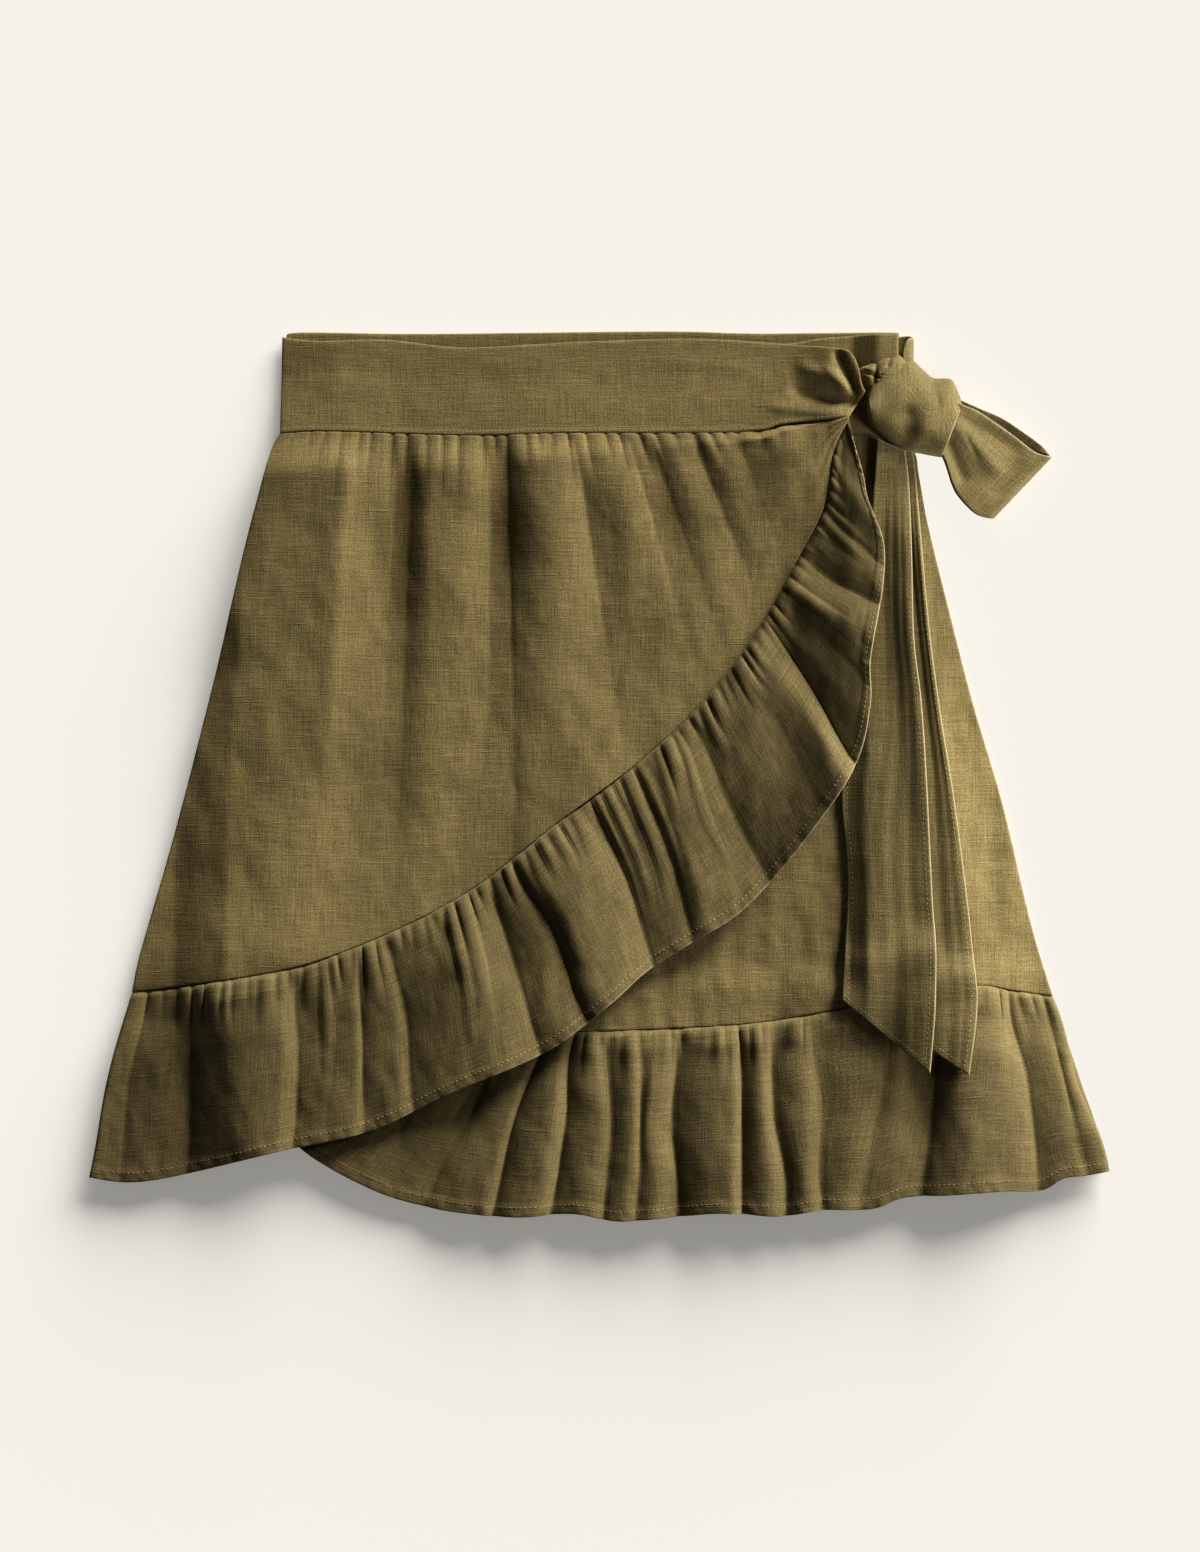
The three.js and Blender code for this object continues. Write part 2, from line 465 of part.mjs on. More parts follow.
// A gathered strip from a seam to a free hem
function ruffleRows({ seam, hem, folds, depths, tuckSeed }) {
  const seamCurve = curveThrough(seam);
  const hemCurve = curveThrough(hem);
  const seamLength = folds.at(-1).seam;
  const hemLength = folds.at(-1).hem;
  const random = randomFrom(tuckSeed);
  const places = columnsOf(folds, 'hem', HEM_STEP);
  const columns = places.map((place, i) => {
    const fold = foldAt(folds, place);
    const pitch = (foldAt(folds, places[i + 1] ?? place).seam - foldAt(folds, places[i - 1] ?? place).seam) / 2;
    const tuck = tuckSeed && i % 2 ? TUCK_RISE * (0.6 + random()) : 0;
    return {
      at: place,
      top: pointAt(seamCurve, fold.seam / seamLength),
      foot: pointAt(hemCurve, fold.hem / hemLength),
      rise: fold.rise,
      tuck: tuck * Math.min(pitch / TUCK_PITCH, 1),
    };
  });
  return depths.map((depth) => columns.map(({ at, top, foot, rise, tuck }) => {
    const length = Math.hypot(foot.x - top.x, foot.d - top.d);
    const share = Math.max(depth, GAP / length);
    const swell = (0.25 + 0.75 * ease(depth / 0.55)) * Math.min(length / FULL_DEPTH, 1);
    return {
      at,
      x: between(top.x, foot.x, share),
      d: between(top.d, foot.d, share),
      rise: rise * swell + tuck * Math.min(length / FULL_DEPTH, 1) * (1 - ease(depth / TUCK_REACH)),
    };
  }));
}

// Folds of the hidden stretch: low even waves up to the ends of both edges
function withHiddenFolds(folds, seam, hem, count) {
  const from = folds.at(-1);
  const seamLength = curveThrough(seam).getLength();
  const hemLength = curveThrough(hem).getLength();
  const hidden = Array.from({ length: count }, (_, i) => ({
    seam: between(from.seam, seamLength, (i + 1) / count),
    hem: between(from.hem, hemLength, (i + 1) / count),
    rise: i % 2 ? 0.2 : 1.2,
    plain: true,
  }));
  return [...folds, ...hidden];
}

// The upper panel: gathered at the waist, curved along the wrap edge
function upperPanelRows() {
  const waist = curveThrough(OVER_WAIST);
  const seam = curveThrough([...OVER_SEAM].reverse());
  const side = curveThrough(LEFT_SIDE);
  const random = randomFrom(7);
  const waistLength = PANEL_FOLDS.at(-1).waist;
  const seamLength = seam.getLength();
  const places = columnsOf(PANEL_FOLDS, 'waist', WAIST_STEP);
  const tucks = places.map((_, i) => (i % 2 ? TUCK_RISE * (0.6 + random()) : 0));
  const depths = [0, 0.03, 0.08, 0.14, 0.2, 0.26, 0.32, 0.39, 0.46, 0.53, 0.6, 0.67, 0.74, 0.8, 0.87, 0.94, 1];
  return depths.map((depth) => places
    .map((place, i) => ({ place, tuck: tucks[i], keep: depth < 0.3 || depth === 1 || i % 2 === 0 || !places[i + 1] }))
    .filter(({ keep }) => keep)
    .map(({ place, tuck }) => {
      const fold = foldAt(PANEL_FOLDS, place);
      const top = pointAt(waist, fold.waist / waistLength);
      const foot = pointAt(seam, fold.seam / seamLength);
      const edge = pointAt(side, depth);
      const pull = 1 - ease(place / 9); // the first columns follow the curved side
      const chord = between(LEFT_SIDE[0].x, LEFT_SIDE.at(-1).x, depth);
      return {
        at: place,
        x: between(top.x, foot.x, depth) + pull * (edge.x - chord),
        d: Math.max(between(top.d, foot.d, depth), top.d + (depth === 0 ? GAP : 0)),
        rise: fold.rise * readTable(PANEL_SWELL, 'depth', 'share', depth)
          + tuck * (1 - ease(depth / PANEL_TUCK_REACH)),
      };
    }));
}

// A panel within four edges: its top and foot run from side to side, its sides
// from the waist down
function panelRows({ top, foot, left, right, columns, footColumns = columns, depths, rise = () => 0 }) {
  return depths.map((depth) => evenly(depth < 1 ? columns : footColumns).map((across) => {
    const place = { at: across, rise: rise(across, depth) };
    ['x', 'd'].forEach((axis) => {
      const straight = (edge) => between(edge(0)[axis], edge(1)[axis], depth);
      place[axis] = between(top(across)[axis], foot(across)[axis], depth)
        + (1 - across) * (left(depth)[axis] - straight(left))
        + across * (right(depth)[axis] - straight(right));
    });
    return place;
  }));
}

// The stretch of a curve between two shares of its length, as an edge
function edgeOf(table, from = 0, to = 1) {
  const curve = curveThrough(table);
  return (share) => pointAt(curve, between(from, to, share));
}

// A straight edge between two places
function lineFrom(a, b) {
  return (share) => ({ x: between(a.x, b.x, share), d: between(a.d, b.d, share) });
}

// A waistband between its two long edges
function bandRows({ upper, lower, columns, rows, rise }) {
  const top = edgeOf(upper);
  const foot = edgeOf(lower);
  return panelRows({
    top, foot, left: lineFrom(top(0), foot(0)), right: lineFrom(top(1), foot(1)), columns, depths: evenly(rows), rise,
  });
}

function evenly(count) {
  return Array.from({ length: count + 1 }, (_, i) => i / count);
}

// A tie's tail: two edges from the knot to a slanted end
function tailRows(leftTable, rightTable) {
  const left = edgeOf(leftTable);
  const right = edgeOf(rightTable);
  return panelRows({
    top: lineFrom(left(0), right(0)),
    foot: lineFrom(left(1), right(1)),
    left,
    right,
    columns: TAIL_CREASE.length + 1,
    depths: evenly(24),
    rise: (across, depth) => readTable(TAIL_CREASE, 'across', 'rise', across) * ease(5 * depth) * (1 - 0.45 * depth),
  });
}

// The knot: rings from its rim to its crown over a body that lies on the rest
function knotGeometry(rest) {
  const outline = new THREE.SplineCurve(
    [...KNOT_OUTLINE, KNOT_OUTLINE[0]].map(({ x, d }) => new THREE.Vector2(x, d)),
  );
  const heightAt = (x, d, share) => {
    const rim = rest(x, d) + KNOT_RIM;
    const dome = Math.sqrt(Math.max(1 - share ** KNOT_FULLNESS, 0));
    return between(rim, Math.max(KNOT_CROWN, rim), dome) - creaseDepth(x, d) * dome;
  };
  const ring = (share, top) => Array.from({ length: KNOT_SIDES }, (_, i) => {
    const edge = outline.getPointAt(i / KNOT_SIDES);
    const x = between(KNOT_MIDDLE.x, edge.x, share);
    const d = between(KNOT_MIDDLE.d, edge.y, share);
    return [x, -d, top ? heightAt(x, d, share) : rest(x, d)];
  });
  const shares = evenly(KNOT_RINGS).slice(1).toReversed();
  const top = shares.map((share) => ring(share, true)).flat(2);
  const under = top.length / 3;
  const places = [...top, ...shares.map((share) => ring(share, false)).flat(2)];
  const { x: crownX, d: crownD } = KNOT_MIDDLE;
  places.push(crownX, -crownD, heightAt(crownX, crownD, 0), crownX, -crownD, rest(crownX, crownD));
  const crown = 2 * under;
  const faces = [];
  const next = (i) => (i + 1) % KNOT_SIDES;
  for (let r = 0; r < KNOT_RINGS; r += 1) {
    for (let i = 0; i < KNOT_SIDES; i += 1) {
      const a = r * KNOT_SIDES + i;
      const b = r * KNOT_SIDES + next(i);
      if (r < KNOT_RINGS - 1) {
        const c = a + KNOT_SIDES;
        const e = b + KNOT_SIDES;
        faces.push(a, b, e, a, e, c, under + a, under + e, under + b, under + a, under + c, under + e);
      } else {
        faces.push(a, b, crown, under + a, crown + 1, under + b);
      }
      if (r === 0) faces.push(a, under + b, b, a, under + a, under + b);
    }
  }
  return closedGeometry(places, faces);
}

function creaseDepth(x, d) {
  return KNOT_CREASES.reduce((sum, { from, to, depth, width }) => {
    const run = { x: to.x - from.x, d: to.d - from.d };
    const length = Math.hypot(run.x, run.d);
    const along = ((x - from.x) * run.x + (d - from.d) * run.d) / length;
    const off = ((x - from.x) * run.d - (d - from.d) * run.x) / length;
    const fade = ease((length - Math.abs(2 * along - length)) / length + 0.3);
    return sum + depth * fade * Math.exp(-((off / width) ** 2));
  }, 0);
}

// Rows of a cloth path: each point gets a place and the way its wall faces
function ribbonGeometry(grid, wall) {
  const rows = grid.map((row, r) => row.map((place, c) => {
    const before = grid[Math.max(r - 1, 0)][c];
    const after = grid[Math.min(r + 1, grid.length - 1)][c];
    const left = row[Math.max(c - 1, 0)];
    const right = row[Math.min(c + 1, row.length - 1)];
    const facing = after.clone().sub(before).cross(right.clone().sub(left)).normalize();
    return {
      at: c,
      low: place.clone().addScaledVector(facing, -wall / 2).toArray(),
      high: place.clone().addScaledVector(facing, wall / 2).toArray(),
    };
  }));
  return wallGeometry(rows);
}

// The loop's path: out along its front layer, round the tip and back below it
function loopGeometry() {
  const upper = curveThrough(LOOP_UPPER);
  const lower = curveThrough(LOOP_LOWER);
  const { knotFront, knotBack, tipFront, tipBack } = LOOP_HEIGHTS;
  const radius = (tipFront - tipBack) / 2;
  const straight = 0.93; // where the fold at the tip begins
  const path = [
    ...evenly(LOOP_STEPS).map((s) => ({ share: s * straight, z: between(knotFront, tipFront, ease(s)) })),
    ...evenly(LOOP_BEND).slice(1, -1).map((s) => ({
      share: straight + (1 - straight) * Math.sin(Math.PI * s),
      z: tipBack + radius + radius * Math.cos(Math.PI * s),
    })),
    ...evenly(LOOP_STEPS).toReversed().map((s) => ({
      share: s * straight,
      z: between(knotBack, tipBack, ease(s * 1.6)),
    })),
  ];
  const grid = path.map(({ share, z }) => evenly(LOOP_ACROSS).map((across) => {
    const a = pointAt(upper, share);
    const b = pointAt(lower, share);
    return new THREE.Vector3(between(a.x, b.x, across), -between(a.d, b.d, across), z);
  }));
  return ribbonGeometry(grid, DOUBLE);
}

// The strap: flat behind the back waistband, then up round its right side
function strapGeometry() {
  const flat = evenly(8).slice(0, -1).map((share) => ({
    x: between(STRAP.left, STRAP.right, share), top: STRAP.top, bottom: STRAP.bottom, z: DOUBLE / 2,
  }));
  const grid = [...flat, ...STRAP_RISE].map(({ x, top, bottom, z }) => evenly(4).map((across) => (
    new THREE.Vector3(x, -between(top, bottom, across), z)
  )));
  return ribbonGeometry(grid, DOUBLE);
}

const group = new THREE.Group();
const laid = new HeightMap();

function add(name, geometry, colour = OLIVE) {
  const material = new THREE.MeshStandardMaterial({ color: colour, roughness: ROUGHNESS, metalness: 0 });
  const mesh = new THREE.Mesh(geometry, material);
  mesh.name = name;
  group.add(mesh);
  laid.press(geometry);
}

// What a new piece lies on: the pieces before it, with the gap between layers
function restOn(reach, soft) {
  const cover = laid.cover(reach, soft);
  return (x, d) => cover(x, d) + GAP;
}

// The hidden back, face down on the floor
add('back_waistband', layRows(
  bandRows({ upper: BACK_TOP, lower: BACK_WAIST, columns: 12, rows: 2 }),
  DOUBLE,
  () => DOUBLE + GAP,
));
add('back_panel', layRows(
  panelRows({
    top: (share) => down(edgeOf(BACK_WAIST)(share), GAP),
    foot: (share) => down(edgeOf(BACK_SEAM)(1 - share), -GAP),
    left: edgeOf(LEFT_SIDE),
    right: edgeOf(RIGHT_SIDE),
    columns: 10,
    footColumns: 30,
    depths: evenly(9),
  }),
  WALL,
  () => 0,
), OLIVE_DEEP);
add('back_ruffle', layRows(
  ruffleRows({ seam: BACK_SEAM, hem: BACK_HEM, folds: BACK_FOLDS, depths: evenly(3), tuckSeed: null }),
  WALL,
  () => 0,
), OLIVE_DEEP);

// The lower wrap, whose pieces meet edge to edge and lie on the same layers
const lowerRest = restOn(LAYER_REACH, LAYER_SOFT);
const underFolds = withHiddenFolds(UNDER_FOLDS, UNDER_SEAM, UNDER_HEM, UNDER_HIDDEN_FOLDS);
const corner = UNDER_CORNER / underFolds.at(-1).seam;
add('under_wrap_panel', layRows(
  panelRows({
    top: (share) => down(edgeOf(UNDER_WAIST)(share), GAP),
    foot: (share) => down(edgeOf(UNDER_SEAM, corner, 0)(share), -GAP / 2),
    left: (share) => down(edgeOf(UNDER_SEAM, 1, corner)(share), -GAP / 2),
    right: edgeOf(RIGHT_SIDE),
    columns: 16,
    footColumns: 56,
    depths: evenly(18),
    rise: (across, depth) => UNDER_WAVE * ease(3 * depth) * (1 - Math.cos(2 * Math.PI * UNDER_WAVES * across)),
  }),
  WALL,
  lowerRest,
));
add('under_wrap_ruffle', layRows(
  ruffleRows({ seam: UNDER_SEAM, hem: UNDER_HEM, folds: underFolds, depths: RUFFLE_DEPTHS, tuckSeed: 11 }),
  WALL,
  lowerRest,
));
add('under_wrap_waistband', layRows(
  bandRows({ upper: UNDER_TOP, lower: UNDER_WAIST, columns: 10, rows: 3 }),
  DOUBLE,
  lowerRest,
));

// The tie's tails, under the upper ruffle
add('tie_tail_rear', layRows(tailRows(REAR_TAIL_LEFT, REAR_TAIL_RIGHT), DOUBLE, restOn(TAIL_REACH, TAIL_SOFT)));
add('tie_tail_front', layRows(tailRows(FRONT_TAIL_LEFT, FRONT_TAIL_RIGHT), DOUBLE, restOn(TAIL_REACH, TAIL_SOFT)));

// The upper wrap
const upperRest = restOn(LAYER_REACH, LAYER_SOFT);
add('over_wrap_panel', layRows(upperPanelRows(), WALL, upperRest));
add('over_wrap_ruffle', layRows(
  ruffleRows({ seam: OVER_SEAM, hem: OVER_HEM, folds: OVER_FOLDS, depths: RUFFLE_DEPTHS, tuckSeed: 3 }),
  WALL,
  upperRest,
));
add('over_wrap_waistband', layRows(
  bandRows({
    upper: OVER_TOP,
    lower: OVER_WAIST,
    columns: 24,
    rows: 5,
    rise: (across, depth) => readTable(BAND_FOLDS, 'across', 'rise', across) * (1 - 0.5 * depth),
  }),
  DOUBLE,
  upperRest,
));

// The bow
add('back_tie', strapGeometry());
add('tie_knot', knotGeometry(restOn(TAIL_REACH, TAIL_SOFT)));
add('bow_loop', loopGeometry());

// The origin goes under the middle of the skirt's box
const box = new THREE.Box3().setFromObject(group);
const middle = box.getCenter(new THREE.Vector3());
group.position.set(-middle.x, -middle.y, -box.min.z);

export default group;
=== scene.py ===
"""A short linen wrap skirt, laid flat and seen from straight above.

Places are given in millimetres in the garment's own frame: x to the right from
the middle of the waist, d down from the top edge of the waistband, z up from
the floor. Each cloth is a closed thin shell that lies on the cloths below it.
"""
import json
import logging
import math
from collections.abc import Callable, Sequence
from dataclasses import dataclass, field
from enum import Enum

import bpy
import numpy as np
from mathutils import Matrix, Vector

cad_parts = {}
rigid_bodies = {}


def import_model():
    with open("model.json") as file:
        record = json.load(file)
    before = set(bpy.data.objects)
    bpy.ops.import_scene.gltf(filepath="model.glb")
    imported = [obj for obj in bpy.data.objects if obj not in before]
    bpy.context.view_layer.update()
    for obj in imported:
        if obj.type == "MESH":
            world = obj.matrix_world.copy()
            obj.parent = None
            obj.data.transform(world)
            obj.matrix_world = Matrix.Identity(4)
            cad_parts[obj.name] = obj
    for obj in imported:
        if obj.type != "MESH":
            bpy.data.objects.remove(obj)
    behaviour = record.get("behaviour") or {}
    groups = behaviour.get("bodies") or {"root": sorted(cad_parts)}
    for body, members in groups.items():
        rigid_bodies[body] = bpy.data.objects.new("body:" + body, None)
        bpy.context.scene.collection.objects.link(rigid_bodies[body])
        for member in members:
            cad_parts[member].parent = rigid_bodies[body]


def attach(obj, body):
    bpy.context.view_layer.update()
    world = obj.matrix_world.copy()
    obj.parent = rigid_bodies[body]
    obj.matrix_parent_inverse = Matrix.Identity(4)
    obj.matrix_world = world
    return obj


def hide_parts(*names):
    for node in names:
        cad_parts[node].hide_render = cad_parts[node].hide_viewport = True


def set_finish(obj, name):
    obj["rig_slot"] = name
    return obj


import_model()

LOG = logging.getLogger("wrap_skirt")
MM = 0.001
BODY = "root"
CUT_PLACES = "cloth"  # attribute with places on the flat cut and the wear of edges, held back as painted shade on the loop's back layer
CENTRE_X = 3.2  # the box's middle, right of the waist's middle
CENTRE_D = 257.216  # the box's middle, down from the waist's top
GAP = 0.3  # between pieces at seams and between layers
WALL = 1.1  # one layer of linen with its soft loft
DOUBLE = 1.6  # ties and waistbands, sewn double
TIE_WIDTH = 52.0
RUFFLE_DEPTH = 107.0  # of the flat strips
RIM_ROWS = (0.0, 0.35, 1.0, 2.2)  # the narrow rows at a cloth's edge, in widths of one
RIM_GAP = 1.8  # how much further in the even rows begin
PITCH = 2.0  # about how far apart the rows and columns of a panel lie
ENDS = np.array([0.0, 1.0])  # shares at the two ends of a line
UNDER_CORNER = 392.0  # along the lower wrap's seam, where it turns up along the hidden edge
UNDER_WIDTH = 330.0  # the lower wrap's panel along the waist
BACK_RUFFLE = (533.3, 594.0)  # lengths of the back ruffle's seam and hem
MIX_A, MIX_B, MIX_RESULT = 6, 7, 2  # colour sockets of a Mix node

Places = Sequence[tuple[float, float]]
Triple = tuple[float, float, float]
Folds = Sequence[Triple]
Pieces = Sequence[bpy.types.Object]
Rest = Callable[[np.ndarray, np.ndarray], np.ndarray]
Edges = Callable[[np.ndarray, np.ndarray], tuple[np.ndarray, ...]]

LEFT_SIDE: Places = (  # x, d from the waist down
    (-181.5, 60.5), (-186.2, 68.4), (-194.3, 97.4), (-201.8, 126.4), (-215.2, 184.4),
    (-229.7, 242.4), (-245.3, 300.4), (-262.2, 358.4), (-267.4, 382.8),
)
RIGHT_SIDE: Places = (  # from the waist down
    (177.5, 59.5), (187.2, 70.2), (189.7, 82.9), (194.9, 111.9), (205.3, 155.4),
    (219.8, 213.4), (236.6, 271.4), (250.0, 329.4), (257.5, 358.4), (265.6, 385.1),
)
BACK_TOP: Places = (  # left to right
    (-178.1, 2.9), (-168.8, 0.6), (-97.4, 1.4), (37.1, 0.0), (93.4, 1.2), (168.8, 0.6),
    (175.7, 1.7),
)
BACK_WAIST: Places = ((-181.5, 60.2), (0.0, 61.0), (175.7, 59.2))
BACK_SEAM: Places = (  # right to left
    (265.6, 385.4), (150.0, 391.0), (0.0, 394.0), (-150.0, 390.0), (-267.4, 383.1),
)
BACK_HEM: Places = (  # right to left
    (296.5, 483.0), (264.5, 487.0), (177.5, 495.0), (61.5, 503.0), (-54.5, 500.0),
    (-120.0, 484.0), (-172.0, 465.0), (-215.0, 473.0), (-257.5, 484.0), (-290.0, 486.0),
)
UNDER_TOP: Places = (  # left to right
    (-141.5, 8.1), (3.5, 11.6), (102.7, 8.1), (131.1, 4.3), (159.5, 2.3), (175.7, 2.3),
)
UNDER_WAIST: Places = ((-141.5, 62.3), (0.0, 61.5), (175.7, 59.2))
UNDER_SEAM: Places = (  # from the right side round the hidden wrap edge to the waist
    (265.6, 385.1), (241.9, 381.6), (221.0, 378.7), (192.0, 385.1), (146.7, 391.5),
    (102.1, 399.6), (58.0, 403.1), (-2.9, 405.4), (-42.9, 404.3), (-76.6, 394.4),
    (-103.8, 374.7), (-121.2, 338.1), (-132.2, 283.0), (-138.6, 184.4), (-141.5, 62.6),
)
UNDER_HEM: Places = (  # the free edge, the same way
    (298.1, 486.0), (284.8, 488.4), (271.4, 490.1), (258.7, 497.1), (235.5, 497.1),
    (203.0, 499.4), (178.6, 501.1), (160.1, 507.5), (131.1, 508.1), (107.9, 511.6),
    (74.2, 509.8), (47.6, 512.1), (13.3, 514.5), (-11.0, 510.4), (-42.9, 512.1),
    (-66.1, 511.0), (-95.1, 506.9), (-128.8, 496.5), (-169.9, 472.7), (-192.6, 442.5),
    (-203.0, 387.4), (-203.6, 300.4), (-198.4, 213.4), (-190.2, 132.2), (-170.5, 80.0),
    (-150.0, 63.0),
)
OVER_TOP: Places = (  # left to right, into the knot
    (-180.4, 3.5), (-159.5, 5.8), (-120.6, 5.2), (-84.1, 9.3), (-58.6, 9.3), (-7.0, 6.4),
    (55.7, 4.6), (93.4, 6.4), (121.8, 8.7), (138.0, 10.4), (147.6, 13.0), (152.5, 22.0),
    (154.2, 31.0), (156.4, 36.0),
)
OVER_WAIST: Places = (  # left to right
    (-181.5, 59.7), (-155.4, 58.3), (-84.1, 60.3), (-58.6, 60.3), (-19.7, 59.2),
    (85.8, 58.6), (108.5, 54.5), (127.6, 52.2), (147.0, 50.5),
)
OVER_SEAM: Places = (  # from the knot down the curved wrap edge to the left side
    (147.3, 51.0), (138.0, 71.3), (132.8, 102.1), (118.3, 131.1), (96.9, 169.4),
    (67.9, 209.4), (29.6, 246.5), (-19.7, 283.6), (-80.0, 328.9), (-159.5, 364.2),
    (-236.1, 378.7), (-267.4, 382.8),
)
OVER_HEM: Places = (  # the free edge, the same way
    (147.9, 58.6), (154.9, 82.9), (157.8, 98.6), (166.5, 123.5), (165.9, 149.6),
    (158.9, 190.2), (158.9, 216.3), (150.2, 251.7), (120.1, 296.4), (87.0, 334.1),
    (55.7, 354.4), (29.6, 371.2), (9.3, 389.2), (-27.3, 416.4), (-82.4, 440.2),
    (-129.3, 462.3), (-186.2, 475.0), (-240.1, 488.4), (-269.1, 492.4), (-291.7, 489.5),
)
LOWER_RIDGE: Folds = (  # where the lower wrap stands highest: x, d, height of the air under it
    (184.0, 80.0, 3.5), (196.0, 180.0, 6.5), (206.0, 260.0, 8.0), (210.0, 330.0, 7.5),
    (214.0, 372.0, 6.5),
)
UPPER_RIDGE: Folds = (  # the same for the upper wrap
    (108.0, 150.0, 3.0), (67.9, 209.4, 6.0), (29.6, 246.5, 7.0), (-19.7, 283.6, 7.5),
    (-80.0, 328.9, 8.5), (-159.5, 364.2, 10.5), (-236.1, 378.7, 10.5), (-267.4, 382.8, 8.0),
)
OVER_FOLDS: Folds = (  # along the seam, along the hem, height of the crest or valley
    (0, 0, 0), (8, 19, 0.5), (18, 40, 2), (30, 59, 3.5), (56, 83, 1), (68, 93, 3), (86, 103, 1),
    (100, 124, 5.5), (111, 151, 3.5), (117, 162, 3.5), (126, 198, 0), (142, 210, 7), (157, 229, 6),
    (165, 249, 6), (198, 280, 2), (226, 325, 6), (242, 337, 2.5), (251, 348, 3.5), (272, 364, 0),
    (318, 399, 7.5), (329, 413, 2), (336, 428, 3.5), (349, 446, 0), (371, 482, 5.5), (415, 529, 0),
    (420, 535, 2.5), (433, 559, 0), (437, 565, 2.5), (471, 602, 0), (477, 610, 5), (504, 636, 6.5),
    (530, 664, 1), (544, 681, 3), (557, 703, 1), (567, 721, 2),
)
UNDER_FOLDS: Folds = (  # the same from the right side, where the lower ruffle shows
    (0, 0, 0.5), (3, 7, 2), (7, 13, 1), (12, 21, 2.5), (27, 43, 0), (39, 86, 10.5), (65, 111, 2),
    (84, 135, 5), (96, 149, 4), (108, 159, 6.5), (144, 170, 3), (149, 179, 7.5), (166, 191, 2),
    (171, 201, 8), (185, 217, 2), (189, 223, 9.5), (221, 254, 0), (228, 269, 6.5), (242, 279, 4),
    (247, 286, 7), (261, 297, 2.5), (267, 306, 6), (280, 328, 0), (284, 340, 7.5), (295, 362, 0),
    (299, 367, 5), (316, 400, 0), (331, 447, 1),
)
PANEL_FOLDS: Folds = (  # along the waist, along the curved seam from the left side, height
    (0, 0, 2.5), (11, 42, 3), (23, 66, 3), (33, 89, 3), (41, 101, 3), (47, 110, 2), (59, 128, 0.5),
    (69, 144, 0), (77, 156, 0.5), (88, 175, 2.5), (108, 200, 2), (121, 219, 0), (131, 240, 0),
    (147, 271, 2.5), (157, 293, 2.5), (170, 320, 1), (179, 336, 1.5), (188, 351, 1.5),
    (200, 382, 0), (213, 406, 0), (223, 424, 1), (237, 441, 0), (248, 454, 1), (263, 470, 1),
    (276, 483, 2), (291, 500, 2.5), (302, 515, 2), (316, 542, 1.5), (328.6, 564, 2),
)


def ease(share: np.ndarray | float) -> np.ndarray:
    """A share from 0 to 1, slowed at both ends."""
    s = np.clip(share, 0.0, 1.0)
    return s * s * (3.0 - 2.0 * s)


def mix(a: np.ndarray, b: np.ndarray, share: np.ndarray | float) -> np.ndarray:
    """The value between a and b at a share of the way."""
    return a + (b - a) * share


class Outline:
    """A smooth line through a few measured places, read by its share of length."""

    STEPS = 160

    def __init__(self, places: Places) -> None:
        """Samples the line finely.

        Args:
            places: x and d of the places that it passes through.
        """
        p = np.array(places, float)
        last = len(p) - 1
        t = np.linspace(0.0, last, self.STEPS * last + 1)
        i = np.minimum(t.astype(int), last - 1)
        w = (t - i)[:, None]
        before, after = p[np.maximum(i - 1, 0)], p[np.minimum(i + 2, last)]
        start, end = p[i], p[i + 1]
        v0, v1 = (end - before) / 2, (after - start) / 2
        self.line = (
            (2 * start - 2 * end + v0 + v1) * w**3
            + (-3 * start + 3 * end - 2 * v0 - v1) * w**2
            + v0 * w
            + start
        )
        steps = np.linalg.norm(np.diff(self.line, axis=0), axis=1)
        self.reach = np.concatenate([[0.0], np.cumsum(steps)])
        self.length = float(self.reach[-1])

    def at(self, share: np.ndarray) -> np.ndarray:
        """Places at shares of the length.

        Args:
            share: shares from 0 to 1, of any shape.

        Returns:
            The places, with a last axis of x and d.
        """
        at = np.clip(share, 0.0, 1.0) * self.length
        return np.stack([np.interp(at, self.reach, self.line[:, k]) for k in (0, 1)], axis=-1)


class Crumple:
    """Soft uneven waves that rumpled linen keeps, the same for the same seed."""

    SIZE = 96

    def __init__(self, seed: int, pitch: tuple[float, float], height: float = 1.0) -> None:
        """Draws the field.

        Args:
            seed: number of the random draw.
            pitch: spacing of the waves along x and d.
            height: how far they go up and down.
        """
        self.pitch = pitch
        self.height = height
        self.field = np.random.default_rng(seed).uniform(-1.0, 1.0, (self.SIZE, self.SIZE))

    def _corner(self, i: np.ndarray, j: np.ndarray) -> np.ndarray:
        """The drawn values at corners of the field's cells."""
        return self.field[j % self.SIZE, i % self.SIZE]

    def at(self, x: np.ndarray, d: np.ndarray) -> np.ndarray:
        """The height of the waves at places on the cloth.

        Args:
            x: x of the places.
            d: d of the places.

        Returns:
            The heights.
        """
        u, v = x / self.pitch[0] + self.SIZE / 2, d / self.pitch[1] + self.SIZE / 4
        i, j = np.floor(u).astype(int), np.floor(v).astype(int)
        near = mix(self._corner(i, j), self._corner(i + 1, j), ease(u - i))
        far = mix(self._corner(i, j + 1), self._corner(i + 1, j + 1), ease(u - i))
        return self.height * mix(near, far, ease(v - j))


def rumpled(x: np.ndarray, d: np.ndarray, *waves: Crumple) -> np.ndarray:
    """The height of several sizes of waves together."""
    return sum(wave.at(x, d) for wave in waves)


def level(height: float) -> Rest:
    """What lies on a flat floor, at a height over it."""
    return lambda x, d: np.full_like(x, height)


